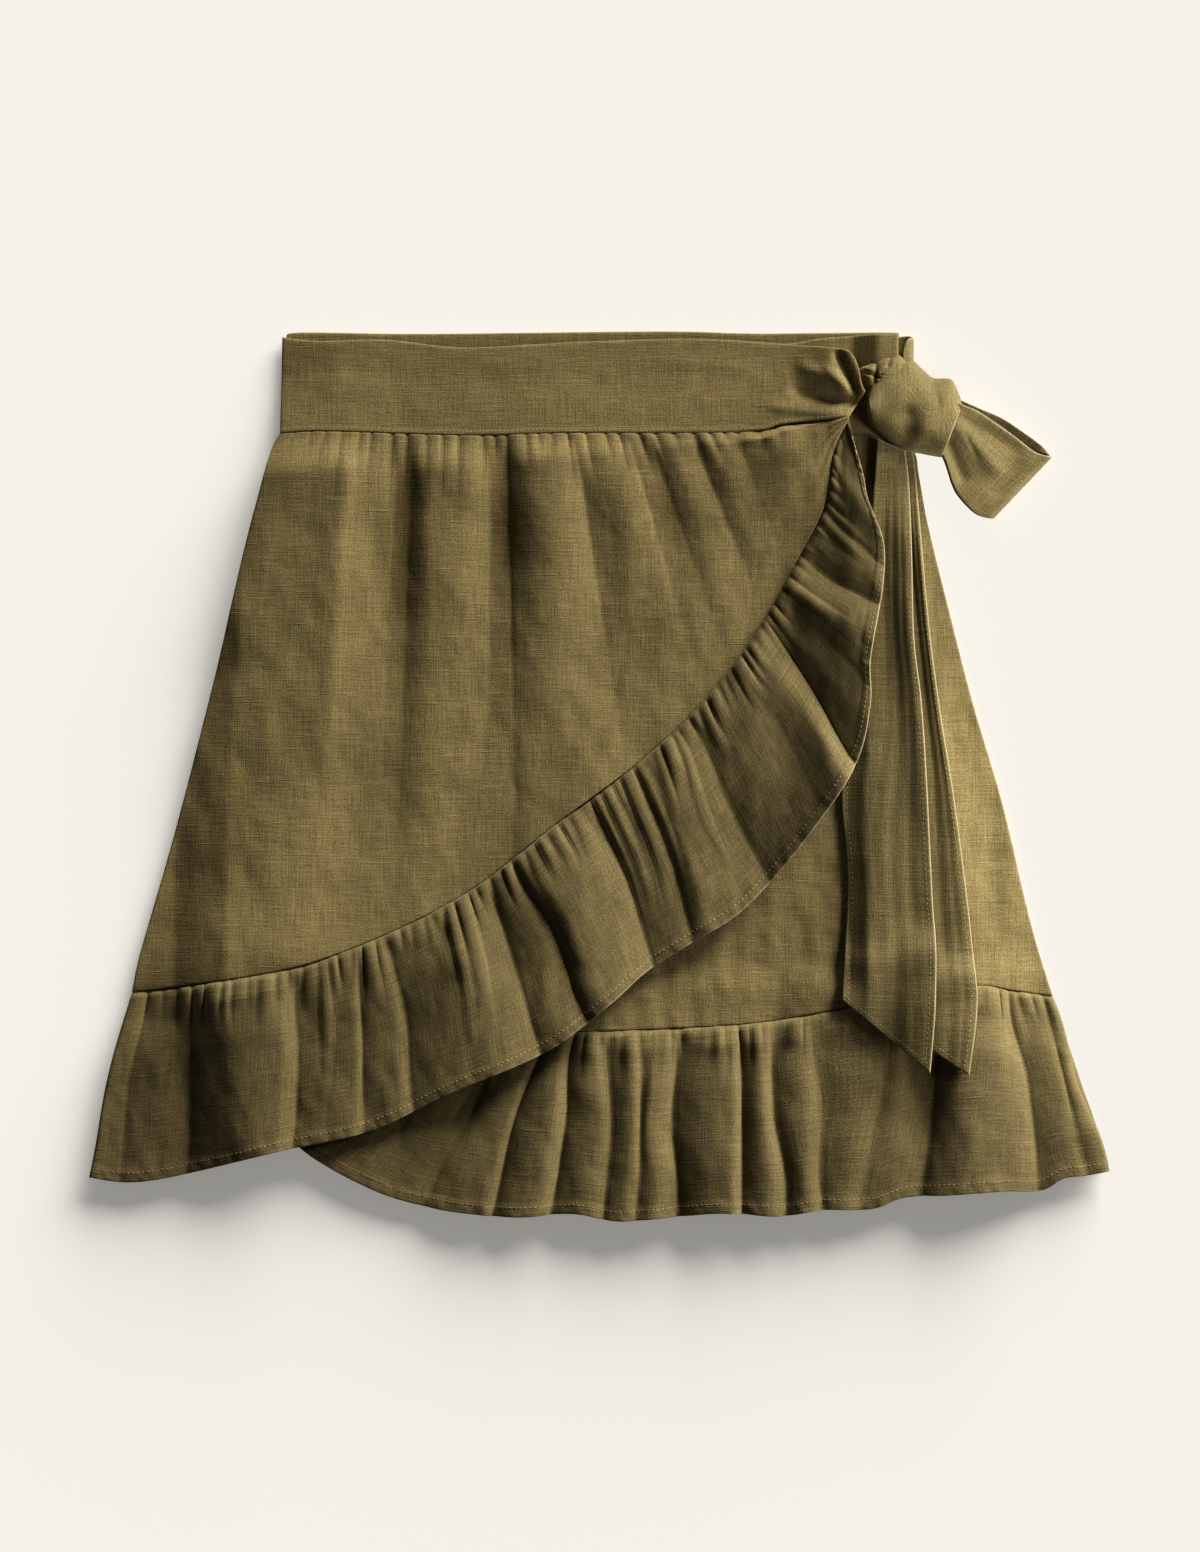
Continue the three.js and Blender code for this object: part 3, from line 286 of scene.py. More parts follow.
class Layers:
    """The height of all cloth laid so far, on a square grid over the floor."""

    CELL = 2.0
    LEFT, TOP = -330.0, -20.0  # x and d of the grid's first corner
    SHAPE = (280, 335)  # rows and columns
    WITHIN = 1.001  # keeps the places that are read inside the last cell

    def __init__(self) -> None:
        """Starts with the bare floor."""
        self.heights = np.zeros(self.SHAPE)

    def press(self, places: np.ndarray) -> None:
        """Marks the heights of a cloth's upper side.

        Args:
            places: x, d and z of places on it, nearer together than a cell.
        """
        flat = places.reshape(-1, 3)
        u = np.clip(np.rint((flat[:, 0] - self.LEFT) / self.CELL).astype(int), 0, self.SHAPE[1] - 1)
        v = np.clip(np.rint((flat[:, 1] - self.TOP) / self.CELL).astype(int), 0, self.SHAPE[0] - 1)
        np.maximum.at(self.heights, (v, u), flat[:, 2])

    @staticmethod
    def _sweep(heights: np.ndarray, radius: int, pick: Callable[..., np.ndarray]) -> np.ndarray:
        """Sweeps a square window over the grid.

        Args:
            heights: the grid.
            radius: half the window's width in cells.
            pick: what is made of a window's heights, such as their mean.

        Returns:
            The grid of what pick gives.
        """
        for axis in (0, 1):
            pad = [(radius, radius) if k == axis else (0, 0) for k in (0, 1)]
            padded = np.pad(heights, pad, mode="edge")
            count = heights.shape[axis]
            windows = [padded.take(range(k, k + count), axis) for k in range(2 * radius + 1)]
            heights = pick(np.stack(windows))
        return heights

    def cover(self, reach: float, soft: float) -> Rest:
        """What a new piece lies on.

        Args:
            reach: how far round it the piece clears what is below.
            soft: how softly it follows it.

        Returns:
            A function of x and d that gives the height of the piece's underside.
        """
        clear = math.ceil((reach + soft) / self.CELL)
        spread = self._sweep(self.heights, clear, lambda windows: windows.max(axis=0))
        smooth = self._sweep(spread, int(soft / self.CELL), lambda windows: windows.mean(axis=0))

        def rest(x: np.ndarray, d: np.ndarray) -> np.ndarray:
            """Reads the smoothed heights between the cells.

            Args:
                x: x of the places.
                d: d of the places.

            Returns:
                The heights there.
            """
            u = np.clip((x - self.LEFT) / self.CELL, 0, self.SHAPE[1] - self.WITHIN)
            v = np.clip((d - self.TOP) / self.CELL, 0, self.SHAPE[0] - self.WITHIN)
            i, j = u.astype(int), v.astype(int)
            upper = mix(smooth[j, i], smooth[j, i + 1], u - i)
            lower = mix(smooth[j + 1, i], smooth[j + 1, i + 1], u - i)
            return mix(upper, lower, v - j) + GAP

        return rest


@dataclass
class Puff:
    """The air under a wrap: highest along a ridge, and none at its side.

    Attributes:
        ridge: x, d and height of the air along the line where it is highest.
        reach: how far to each side it comes down.
        side: the side along which the cloth comes down to the floor.
        inset: over which distance it does.
        samples: number of places read along the ridge and along the side.
    """

    ridge: Folds
    reach: float
    side: Places
    inset: float
    samples: int = 60

    def over(self, rest: Rest) -> Rest:
        """What the wrap lies on, with the air under it.

        Args:
            rest: the height of what is below.

        Returns:
            The same with the air.
        """
        last = len(self.ridge) - 1
        rows = np.linspace(0, last, self.samples)
        columns = zip(*self.ridge)
        tops = np.column_stack([np.interp(rows, range(last + 1), column) for column in columns])
        rims = Outline(self.side).at(np.linspace(0, 1, self.samples))

        def lifted(x: np.ndarray, d: np.ndarray) -> np.ndarray:
            """The height of the cloth's underside.

            Args:
                x: x of the places.
                d: d of the places.

            Returns:
                The heights.
            """
            air, edge = np.zeros_like(x), np.full_like(x, np.inf)
            for top, rim in zip(tops, rims):
                off = np.hypot(x - top[0], d - top[1]) / self.reach
                air = np.maximum(air, top[2] * np.exp(-(off**2)))
                edge = np.minimum(edge, np.hypot(x - rim[0], d - rim[1]))
            return rest(x, d) + air * ease(edge / self.inset)

        return lifted


class Slot(Enum):
    """The record's material slots."""

    PANEL = "linen_panel"
    RUFFLE = "linen_ruffle"
    BAND = "linen_band"
    TIE = "linen_tie"
    THREAD = "thread"


class Hold(Enum):
    """How a cloth is held."""

    LAID = "laid"
    GATHERED = "gathered"
    FOLDED = "folded"


class Edge(Enum):
    """The edges of a net of places."""

    TOP = "top"
    FOOT = "foot"
    LEFT = "left"
    RIGHT = "right"


ALL_EDGES = tuple(Edge)


@dataclass
class Cloth:
    """A thin closed shell of cloth on a net of places.

    Attributes:
        name: the piece's name.
        net: rows, columns and x, d, z of the middle of the cloth.
        flat: rows, columns and the same places on the flat cut, in millimetres.
        wall: the thickness.
        free: the edges that are hemmed and show wear.
        wear_less_painted_shade: how much of that wear shows, for each place or for all; where it is
            below 1 the pale edge is held back as painted shade, as on the loop's back layer.
        rounding: how far in from its edges the shell thins.
        thinnest: share of the thickness that is left at an edge.
    """

    name: str
    net: np.ndarray
    flat: np.ndarray
    wall: float
    free: tuple[Edge, ...] = ()
    wear_less_painted_shade: np.ndarray | float = 1.0
    rounding: float = 1.1
    thinnest: float = 0.12

    def facing(self) -> np.ndarray:
        """The unit vectors across the cloth, pointing up where it lies flat.

        Returns:
            One for each place.
        """
        down = np.gradient(self.net, axis=0)
        across = np.gradient(self.net, axis=1)
        normal = np.cross(down, across)
        length = np.linalg.norm(normal, axis=2, keepdims=True)
        normal = normal / np.maximum(length, 1e-9)
        if np.median(normal[..., 2]) < 0:
            normal = -normal
        return normal

    def inward(self, edges: Sequence[Edge]) -> np.ndarray:
        """How far each place is from the nearest of some edges.

        Args:
            edges: those edges.

        Returns:
            The distances over the net.
        """
        near = np.full(self.net.shape[:2], np.inf)
        pairs = ((Edge.TOP, Edge.FOOT), (Edge.LEFT, Edge.RIGHT))
        for axis, (first, last) in enumerate(pairs):
            steps = np.linalg.norm(np.diff(self.net, axis=axis), axis=2)
            zero = np.zeros_like(steps.take([0], axis))
            run = np.concatenate([zero, np.cumsum(steps, axis=axis)], axis=axis)
            if first in edges:
                near = np.minimum(near, run)
            if last in edges:
                near = np.minimum(near, run.take([-1], axis) - run)
        return near

    def thickness(self) -> np.ndarray:
        """The thickness over the net, which thins towards the edges."""
        share = np.clip(self.inward(ALL_EDGES) / self.rounding, 0.0, 1.0)
        return self.wall * mix(self.thinnest, 1.0, np.sqrt(1.0 - (1.0 - share) ** 2))

    def edging(self) -> np.ndarray:
        """The pale wear of free edges at each place, from 0 to 1, less where painted shade holds it
        back.
        """
        return self.wear_less_painted_shade * (1.0 - ease(self.inward(self.free) / self.rounding))

    def sides(self) -> tuple[np.ndarray, np.ndarray]:
        """The upper and the lower side of the shell."""
        half = self.facing() * self.thickness()[..., None] / 2
        return self.net + half, self.net - half

    def build(self) -> bpy.types.Object:
        """Makes the mesh.

        Returns:
            The new object, with the flat cut's places stored on its points.
        """
        rows, columns = self.net.shape[:2]
        upper, lower = self.sides()
        keys = np.arange(rows * columns).reshape(rows, columns)
        corners = [keys[:-1, :-1], keys[1:, :-1], keys[1:, 1:], keys[:-1, 1:]]
        top = np.stack(corners, axis=-1).reshape(-1, 4)
        under = top[:, ::-1] + rows * columns
        rim = np.concatenate([keys[0, :-1], keys[:-1, -1], keys[-1, :0:-1], keys[:0:-1, 0]])
        after = np.roll(rim, -1)
        side = np.stack([rim, after, after + rows * columns, rim + rows * columns], axis=-1)
        places = np.concatenate([upper.reshape(-1, 3), lower.reshape(-1, 3)])
        made = mesh_object(self.name, places, np.concatenate([top, under, side]))
        cut = np.concatenate([self.flat, self.edging()[..., None]], axis=2).reshape(-1, 3)
        stored = made.data.attributes.new(CUT_PLACES, "FLOAT_VECTOR", "POINT")
        stored.data.foreach_set("vector", np.concatenate([cut, cut]).astype(np.float32).ravel())
        return made


def mesh_object(name: str, places: np.ndarray, faces: np.ndarray) -> bpy.types.Object:
    """Makes a smooth mesh whose faces point out.

    Args:
        name: the object's name.
        places: x, d and z of its points, in millimetres in the garment's frame.
        faces: the corners of its faces, all with as many corners.

    Returns:
        The object, linked to the scene.
    """
    x, d, z = places.T
    world = np.stack([x - CENTRE_X, CENTRE_D - d, z], axis=-1) * MM
    corners = world[faces]
    volume = 0.0
    for k in range(1, faces.shape[1] - 1):
        aside = np.cross(corners[:, k], corners[:, k + 1])
        volume += np.einsum("ij,ij->i", corners[:, 0], aside).sum()
    if volume < 0:
        faces = faces[:, ::-1]
    mesh = bpy.data.meshes.new(name)
    mesh.vertices.add(len(world))
    mesh.vertices.foreach_set("co", world.astype(np.float32).ravel())
    mesh.loops.add(faces.size)
    mesh.loops.foreach_set("vertex_index", faces.astype(np.int32).ravel())
    mesh.polygons.add(len(faces))
    starts = np.arange(0, faces.size, faces.shape[1], dtype=np.int32)
    mesh.polygons.foreach_set("loop_start", starts)
    mesh.polygons.foreach_set("use_smooth", np.ones(len(faces), dtype=bool))
    mesh.update(calc_edges=True)
    made = bpy.data.objects.new(name, mesh)
    bpy.context.scene.collection.objects.link(made)
    return made


def blend_rows(table: Sequence[Sequence[float]], at: np.ndarray) -> np.ndarray:
    """Reads a table as a smooth curve near its rows.

    Args:
        table: rows of numbers.
        at: places along the rows, from 0 to the last row's number.

    Returns:
        A row of numbers for each place.
    """
    rows = np.array(table, float)
    rows = np.concatenate([[2 * rows[0] - rows[1]], rows, [2 * rows[-1] - rows[-2]]])
    i = np.minimum(at.astype(int), len(rows) - 4)
    w = (at - i)[:, None]
    return (
        rows[i] * (1 - w) ** 3
        + rows[i + 1] * (3 * w**3 - 6 * w**2 + 4)
        + rows[i + 2] * (-3 * w**3 + 3 * w**2 + 3 * w + 1)
        + rows[i + 3] * w**3
    ) / 6


def fold_profile(folds: np.ndarray, at: np.ndarray, steep: float = 0.72) -> np.ndarray:
    """Reads a fold table with round crests and narrow valleys.

    Args:
        folds: rows of place along the seam, place along the hem, height.
        at: places along the rows, from 0 to the last row's number.
        steep: below 1 makes the valleys narrower.

    Returns:
        A row of numbers for each place.
    """
    last = len(folds) - 1
    i = np.minimum(at.astype(int), last - 1)
    share = at - i
    rise = folds[:, 2]
    before, after = np.roll(rise, 1), np.roll(rise, -1)
    before[0], after[-1] = rise[0], rise[-1]
    crest = (rise >= before) & (rise >= after)
    valley = (rise <= before) & (rise <= after)
    up = rise[i] <= rise[i + 1]
    low, high = np.where(up, i, i + 1), np.where(up, i + 1, i)
    t = np.where(up, share, 1 - share)
    t = np.where(crest[high], np.sin(np.pi / 2 * t), t)
    t = np.where(valley[low], t**steep, t)
    place = mix(folds[i, :2], folds[i + 1, :2], share[:, None])
    return np.column_stack([place, rise[low] + (rise[high] - rise[low]) * t])


def columns_along(table: Sequence[Sequence[float]], key: int, step: float) -> np.ndarray:
    """Places along a fold table whose columns lie about a step apart.

    Args:
        table: the folds, with their height last.
        key: which number of a row runs along the edge that counts.
        step: the spacing of columns.

    Returns:
        The places, as fractions of rows.
    """
    rows = np.array(table, float)
    run = np.hypot(np.diff(rows[:, key]), np.diff(rows[:, -1]))
    reach = np.concatenate([[0.0], np.cumsum(run)])
    count = int(reach[-1] / step) + 1
    return np.interp(np.linspace(0.0, reach[-1], count), reach, np.arange(len(rows)))


def depths(count: int, length: float, fine: float = 0.4) -> np.ndarray:
    """Shares down a cloth, with narrow rows at its edges for their rounding.

    Args:
        count: number of even rows.
        length: the cloth's length.
        fine: width of the narrow rows.

    Returns:
        The shares from 0 to 1.
    """
    narrow = np.array(RIM_ROWS) * fine / length
    first = narrow[-1] * RIM_GAP
    inner = np.linspace(first, 1.0 - first, count)
    return np.concatenate([narrow, inner, 1.0 - narrow[::-1]])


def even_folds(
    start: Sequence[float], end: Sequence[float], count: int, heights: tuple[float, float]
) -> Folds:
    """Folds at even distances, for a stretch that stays hidden.

    Args:
        start: places along the seam and along the hem where they begin.
        end: the same where they end.
        count: number of steps between.
        heights: the two heights that take turns.

    Returns:
        Rows like those of a fold table.
    """
    shares = [k / count for k in range(count + 1)]
    return tuple(
        (mix(start[0], end[0], share), mix(start[1], end[1], share), heights[k % 2])
        for k, share in enumerate(shares)
    )


@dataclass
class Gathers:
    """Small pillows between the tucks along a gathered seam.

    Attributes:
        length: the seam's length.
        seed: number of the random draw.
        pitch: least and most distance between tucks.
        rise: least and most height of a pillow.
        reach: least and most share of the depth that it fades over.
        long_share: how many of them run on.
        long_reach: how far those do.
        blunt: below 1 makes the pillows fuller.
        usual: the distance between tucks for which the heights hold.
    """

    length: float
    seed: int
    pitch: tuple[float, float] = (5.0, 10.0)
    rise: tuple[float, float] = (1.2, 3.1)
    reach: tuple[float, float] = (0.12, 0.42)
    long_share: float = 0.15
    long_reach: float = 0.9
    blunt: float = 0.42
    usual: float = 7.5

    def __post_init__(self) -> None:
        """Draws the tucks."""
        rng = np.random.default_rng(self.seed)
        count = int(self.length / self.pitch[0]) + 2
        self.tucks = np.concatenate([[0.0], np.cumsum(rng.uniform(*self.pitch, count))])
        self.rises = rng.uniform(*self.rise, count)
        self.reaches = rng.uniform(*self.reach, count)
        self.reaches[rng.random(count) < self.long_share] = self.long_reach
        self.sway = rng.uniform(-2.0, 2.0, count)

    def at(self, along: np.ndarray, depth: np.ndarray) -> np.ndarray:
        """The pillows' height.

        Args:
            along: distance along the seam.
            depth: share of the way to the other edge.

        Returns:
            The height over the folds.
        """
        k = np.searchsorted(self.tucks, along, side="right") - 1
        k = np.clip(k, 0, len(self.rises) - 1)
        place = along + self.sway[k] * depth
        width = self.tucks[k + 1] - self.tucks[k]
        share = np.clip((place - self.tucks[k]) / width, 0.0, 1.0)
        pillow = np.sin(np.pi * share) ** self.blunt
        fade = 1.0 - ease(depth / self.reaches[k])
        return self.rises[k] * pillow * fade * np.sqrt(width / self.usual)


@dataclass
class Ruffle:
    """A gathered strip from a seam to a free hem.

    Attributes:
        name: the piece's name.
        node: the node that it stands for.
        seam: the seam's line.
        hem: the free edge's line, the same way.
        folds: rows of place along the seam, place along the hem, height.
        cut: width and depth of the flat strip.
        seed: number of the random draw.
        step: spacing of columns along the hem.
        rows: number of rows.
        crest: how much higher the folds stand than the table says.
        soft: how far the folds are smoothed, from 0 to 1.
        lift: how far the valleys stand off at the hem.
        full_depth: depth from which the folds are as high as they get.
        stitch_in: distance of the hem's stitches from its edge.
        hem_rise: how much the doubled hem stands up.
    """

    name: str
    node: str
    seam: Places
    hem: Places
    folds: Folds
    cut: tuple[float, float]
    seed: int
    step: float = 1.6
    rows: int = 56
    crest: float = 1.35
    soft: float = 0.2
    lift: float = 2.4
    full_depth: float = 60.0
    stitch_in: float = 6.7
    hem_rise: float = 0.45

    def columns(self) -> tuple[np.ndarray, ...]:
        """Places along the seam, places along the hem and heights of the columns.

        Returns:
            The three, each with a number for each column.
        """
        folds = np.array(self.folds, float) * (1.0, 1.0, self.crest)
        at = columns_along(folds, 1, self.step)
        column = mix(fold_profile(folds, at), blend_rows(folds, at), self.soft)
        along = np.clip(column[:, 0], 0, folds[-1, 0])
        reach = np.clip(column[:, 1], 0, folds[-1, 1])
        return along, reach, column[:, 2]

    def sway(
        self, foot: np.ndarray, reach: np.ndarray, down: np.ndarray, share: np.ndarray
    ) -> np.ndarray:
        """How far the folds wander along the hem on their way down.

        Args:
            foot: places of the columns on the hem.
            reach: the same as distances along it.
            down: distances from the seam.
            share: the rows' shares of the depth.

        Returns:
            Steps in x and d for each row and column.
        """
        aside = np.gradient(foot, axis=0)
        aside /= np.maximum(np.linalg.norm(aside, axis=1, keepdims=True), 1e-6)
        bend = Crumple(self.seed + 50, (24.0, 52.0), 4.0).at(reach + 0 * share, down)
        return aside * (bend * np.sin(np.pi * share))[..., None]

    def net(self, rest: Rest) -> tuple[np.ndarray, np.ndarray]:
        """Works out where the cloth lies.

        Args:
            rest: the height of what it lies on.

        Returns:
            The middle of the cloth and its places on the flat cut.
        """
        seam_length, hem_length = self.folds[-1][:2]
        along, reach, rise = self.columns()
        top = Outline(self.seam).at(along / seam_length)
        foot = Outline(self.hem).at(reach / hem_length)
        length = np.linalg.norm(foot - top, axis=1)
        share = depths(self.rows, float(np.median(length)))[:, None]
        down = share * length
        start = np.maximum(share, GAP / length)
        place = mix(top, foot, start[..., None]) + self.sway(foot, reach, down, share)
        x, d = place[..., 0], place[..., 1]
        room = np.minimum(length / self.full_depth, 1.0)
        dip = ease(down / 2.6 + 0.1)  # down into the seam
        swell = read_table(RUFFLE_SWELL, share + 0 * reach)
        gathers = Gathers(seam_length, self.seed).at(along + 0 * share, share + 0 * along)
        rumple = rumpled(
            x, d,
            Crumple(self.seed + 1, (7.0, 13.0), 0.35),
            Crumple(self.seed + 2, (19.0, 30.0), 0.7),
            Crumple(self.seed + 3, (3.5, 5.0), 0.14),
        )
        band = ease((down - (length - self.stitch_in)) / 0.8)  # the doubled hem
        ripple = Crumple(self.seed + 4, (2.2, 5.0), 0.3).at(reach + 0.5 * down, down)
        height = (rise * swell + gathers) * room * dip + rumple * ease(share * 3)
        height += (self.hem_rise + ripple) * band + self.lift * ease(share)
        z = rest(x, d) + WALL / 2 + np.maximum(height, 0.0)
        width, depth = self.cut
        flat = [reach * width / hem_length + 0 * share, share * depth + 0 * reach]
        return np.stack([x, d, z], axis=-1), np.stack(flat, axis=-1)

    def cloth(self, rest: Rest) -> Cloth:
        """The ruffle's shell on what it lies on."""
        net, flat = self.net(rest)
        return Cloth(self.name, net, flat, WALL, (Edge.FOOT,))


def coons(
    top: np.ndarray,
    foot: np.ndarray,
    left: np.ndarray,
    right: np.ndarray,
    across: np.ndarray,
    depth: np.ndarray,
) -> np.ndarray:
    """Fills the space between four edges.

    Args:
        top: places along the upper edge, one for each column.
        foot: places along the lower edge, one for each column.
        left: places down the left edge, one for each row.
        right: places down the right edge, one for each row.
        across: the columns' shares.
        depth: the rows' shares.

    Returns:
        Rows and columns of x and d.
    """
    u, v = across[None, :, None], depth[:, None, None]
    body = mix(top[None], foot[None], v)
    bow = [edge[:, None] - mix(edge[0], edge[-1], v) for edge in (left, right)]
    return body + (1 - u) * bow[0] + u * bow[1]


@dataclass
class Panel:
    """A cloth within four edges.

    Attributes:
        name: the piece's name.
        node: the node that it stands for.
        columns: number of columns.
        rows: number of even rows.
        wall: its thickness.
        relief: a function of the column's share, the row's share, x and d that
            gives the height over what it lies on.
        free: its hemmed edges.
    """

    name: str
    node: str
    columns: int
    rows: int
    wall: float
    relief: Callable[..., np.ndarray]
    free: tuple[Edge, ...] = ()

    def cloth(self, edges: Edges, rest: Rest) -> Cloth:
        """Lays the panel.

        Args:
            edges: a function of the columns' and rows' shares that gives the
                upper, lower, left and right edge.
            rest: the height of what it lies on.

        Returns:
            The panel's shell.
        """
        across = depths(self.columns, self.columns * PITCH)
        depth = depths(self.rows, self.rows * PITCH)
        place = coons(*edges(across, depth), across, depth)
        x, d = place[..., 0], place[..., 1]
        u, v = across[None, :] + 0 * x, depth[:, None] + 0 * x
        z = rest(x, d) + self.wall / 2 + np.maximum(self.relief(u, v, x, d), 0.0)
        return Cloth(self.name, np.stack([x, d, z], axis=-1), place.copy(), self.wall, self.free)


def waistband_edges(upper: Places, lower: Places) -> Edges:
    """Edges of a waistband between its two long lines.

    Args:
        upper: the upper line, left to right.
        lower: the lower line, left to right.

    Returns:
        A function of shares as Panel.cloth takes.
    """
    top, foot = Outline(upper), Outline(lower)

    def edges(across: np.ndarray, depth: np.ndarray) -> tuple[np.ndarray, ...]:
        """The four edges at shares of columns and rows.

        Args:
            across: the columns' shares.
            depth: the rows' shares.

        Returns:
            The upper, lower, left and right edge.
        """
        corners = zip(top.at(ENDS), foot.at(ENDS))
        left, right = (mix(start, end, depth[:, None]) for start, end in corners)
        return top.at(across), foot.at(across), left, right

    return edges


def lowered(places: np.ndarray, step: float) -> np.ndarray:
    """The places moved down the skirt."""
    return places + np.array([0.0, step])


@dataclass(frozen=True)
class Crease:
    """A soft ridge or trough along a line on a cloth.

    Attributes:
        start: x and d where it begins.
        end: x and d where it ends.
        rise: its height, or its depth where it is negative.
        width: how far its sides reach.
    """

    start: tuple[float, float]
    end: tuple[float, float]
    rise: float
    width: float

    def at(self, x: np.ndarray, d: np.ndarray) -> np.ndarray:
        """Its height at places on the cloth.

        Args:
            x: x of the places.
            d: d of the places.

        Returns:
            The heights.
        """
        run = np.subtract(self.end, self.start)
        length = float(np.hypot(*run))
        right, down = x - self.start[0], d - self.start[1]
        along = (right * run[0] + down * run[1]) / length**2
        off = (right * run[1] - down * run[0]) / length
        fade = ease(along * 3 + 0.4) * ease((1 - along) * 3 + 0.4)
        return self.rise * fade * np.exp(-((off / self.width) ** 2))


def creased(creases: Sequence[Crease], x: np.ndarray, d: np.ndarray) -> np.ndarray:
    """The height of several creases together."""
    return sum((crease.at(x, d) for crease in creases), np.zeros_like(x))


def read_table(table: Sequence[tuple[float, float]], at: np.ndarray) -> np.ndarray:
    """Reads a table of place and value, eased from row to row.

    Args:
        table: rows of place and value.
        at: the places to read.

    Returns:
        The values there.
    """
    rows = np.array(table, float)
    i = np.clip(np.searchsorted(rows[:, 0], at, side="right") - 1, 0, len(rows) - 2)
    share = (at - rows[i, 0]) / (rows[i + 1, 0] - rows[i, 0])
    return mix(rows[i, 1], rows[i + 1, 1], ease(share))


RUFFLE_SWELL = ((0, 0.3), (0.12, 0.65), (0.35, 0.95), (0.65, 1.0), (1, 0.95))
PANEL_SWELL = ((0, 0.1), (0.08, 1.1), (0.22, 1.2), (0.45, 0.85), (0.7, 0.45), (1, 0.25))
PANEL_TUCKS = (  # along the waist, height of the pillow to its right, its reach
    (0, 0.5, 0.05), (9, 0.5, 0.06), (19, 0.7, 0.05), (27, 0.9, 0.1), (37, 1.0, 0.2),
    (47, 1.1, 0.1), (53, 1.3, 0.22), (65, 1.2, 0.12), (73.6, 1.2, 0.16), (84.7, 1.1, 0.1),
    (94, 1.2, 0.14), (103, 1.4, 0.22), (117, 0.9, 0.1), (124, 0.8, 0.06), (131, 1.1, 0.12),
    (142, 0.9, 0.1), (149, 0.7, 0.06), (156.6, 1.0, 0.1), (165.9, 1.4, 0.2), (176.3, 1.0, 0.12),
    (187.9, 0.9, 0.1), (195.4, 1.3, 0.22), (207, 1.2, 0.16), (216.3, 0.9, 0.1), (226.8, 1.1, 0.18),
    (239, 1.3, 0.26), (248, 1.1, 0.14), (256, 0.9, 0.08), (263.3, 1.1, 0.16), (276, 1.1, 0.24),
    (286, 0.9, 0.12), (297, 0.8, 0.1), (306, 0.7, 0.08), (316, 0.7, 0.1), (328.6, 0.5, 0.1),
)


@dataclass
class UpperPanel:
    """The upper wrap's panel, gathered at the waist and curved along its edge.

    Attributes:
        name: the piece's name.
        node: the node that it stands for.
        step: spacing of columns along the seam.
        rows: number of even rows.
        length: about how long it is.
        crest: height of a fold whose row says 1.
        soft: how far the folds are smoothed, from 0 to 1.
        side_rows: half the rows of folds over which the columns follow the side.
        fringe: places of the narrow columns at its sides, in rows of folds.
        pillow: height of a pillow under the waistband whose row says 1.
    """

    name: str = "over_wrap_panel_cloth"
    node: str = "over_wrap_panel"
    step: float = 1.75
    rows: int = 134
    length: float = 300.0
    crest: float = 2.7
    soft: float = 0.5
    side_rows: float = 4.5
    fringe: tuple[float, ...] = (0.004, 0.012, 0.03)
    pillow: float = 1.25

    def cloth(self, rest: Rest) -> Cloth:
        """Lays the panel.

        Args:
            rest: the height of what it lies on.

        Returns:
            The panel's shell.
        """
        waist, seam, side = Outline(OVER_WAIST), Outline(OVER_SEAM[::-1]), Outline(LEFT_SIDE)
        last = PANEL_FOLDS[-1][0]
        even = columns_along(PANEL_FOLDS, 1, self.step)
        at = np.sort(np.concatenate([even, self.fringe, even[-1] - np.array(self.fringe[1:])]))
        folds = np.array(PANEL_FOLDS, float)
        column = mix(fold_profile(folds, at), blend_rows(folds, at), self.soft)
        along = np.clip(column[:, 0], 0, last)
        top = waist.at(along / last)
        foot = lowered(seam.at(column[:, 1] / seam.length), -GAP / 2)
        share = depths(self.rows, self.length)[:, None]
        place = mix(top, foot, share[..., None])
        edge = side.at(share[:, 0])
        chord = mix(LEFT_SIDE[0][0], LEFT_SIDE[-1][0], share[:, 0])
        pull = 1.0 - ease(at / (2 * self.side_rows))
        x = place[..., 0] + pull * (edge[:, 0] - chord)[:, None]
        d = np.maximum(place[..., 1], top[:, 1] + GAP)
        depth = share + 0 * x
        rumple = rumpled(
            x, d,
            Crumple(71, (26.0, 40.0), 1.1),
            Crumple(72, (10.0, 15.0), 0.4),
            Crumple(73, (34.0, 150.0), 1.3),
            Crumple(74, (3.4, 4.4), 0.1),
        )
        rise = self.crest * column[:, 2] * read_table(PANEL_SWELL, depth)
        height = rise + self.gathers(along + 0 * x, depth) + rumple * ease(share * 5)
        z = rest(x, d) + WALL / 2 + np.maximum(height, 0.0)
        return Cloth(self.name, np.stack([x, d, z], axis=-1), np.stack([x, d], axis=-1), WALL)

    def gathers(self, along: np.ndarray, depth: np.ndarray) -> np.ndarray:
        """The small pillows under the waistband.

        Args:
            along: distance along the waist.
            depth: share of the way to the curved seam.

        Returns:
            Their height over the folds.
        """
        place, rise, reach = np.array(PANEL_TUCKS).T
        k = np.clip(np.searchsorted(place, along, side="right") - 1, 0, len(place) - 2)
        share = np.clip((along - place[k]) / (place[k + 1] - place[k]), 0.0, 1.0)
        round_top = np.sin(np.pi * share) ** 0.75
        return self.pillow * rise[k] * round_top * (1.0 - ease(depth / reach[k]))


BAND_CREASES = (  # where the upper waistband gathers into the knot, and two soft ones
    Crease((140.0, 12.0), (151.0, 37.0), -5.5, 2.8),
    Crease((133.0, 20.0), (147.0, 38.0), 1.3, 2.6),
    Crease((116.0, 34.0), (156.0, 44.0), -4.6, 5.0),
    Crease((118.0, 20.0), (150.0, 34.0), 1.5, 4.0),
    Crease((100.0, 44.0), (146.0, 50.0), 0.9, 3.0),
    Crease((-160.0, 30.0), (-120.0, 34.0), 0.4, 8.0),
    Crease((40.0, 18.0), (90.0, 22.0), 0.4, 4.0),
)

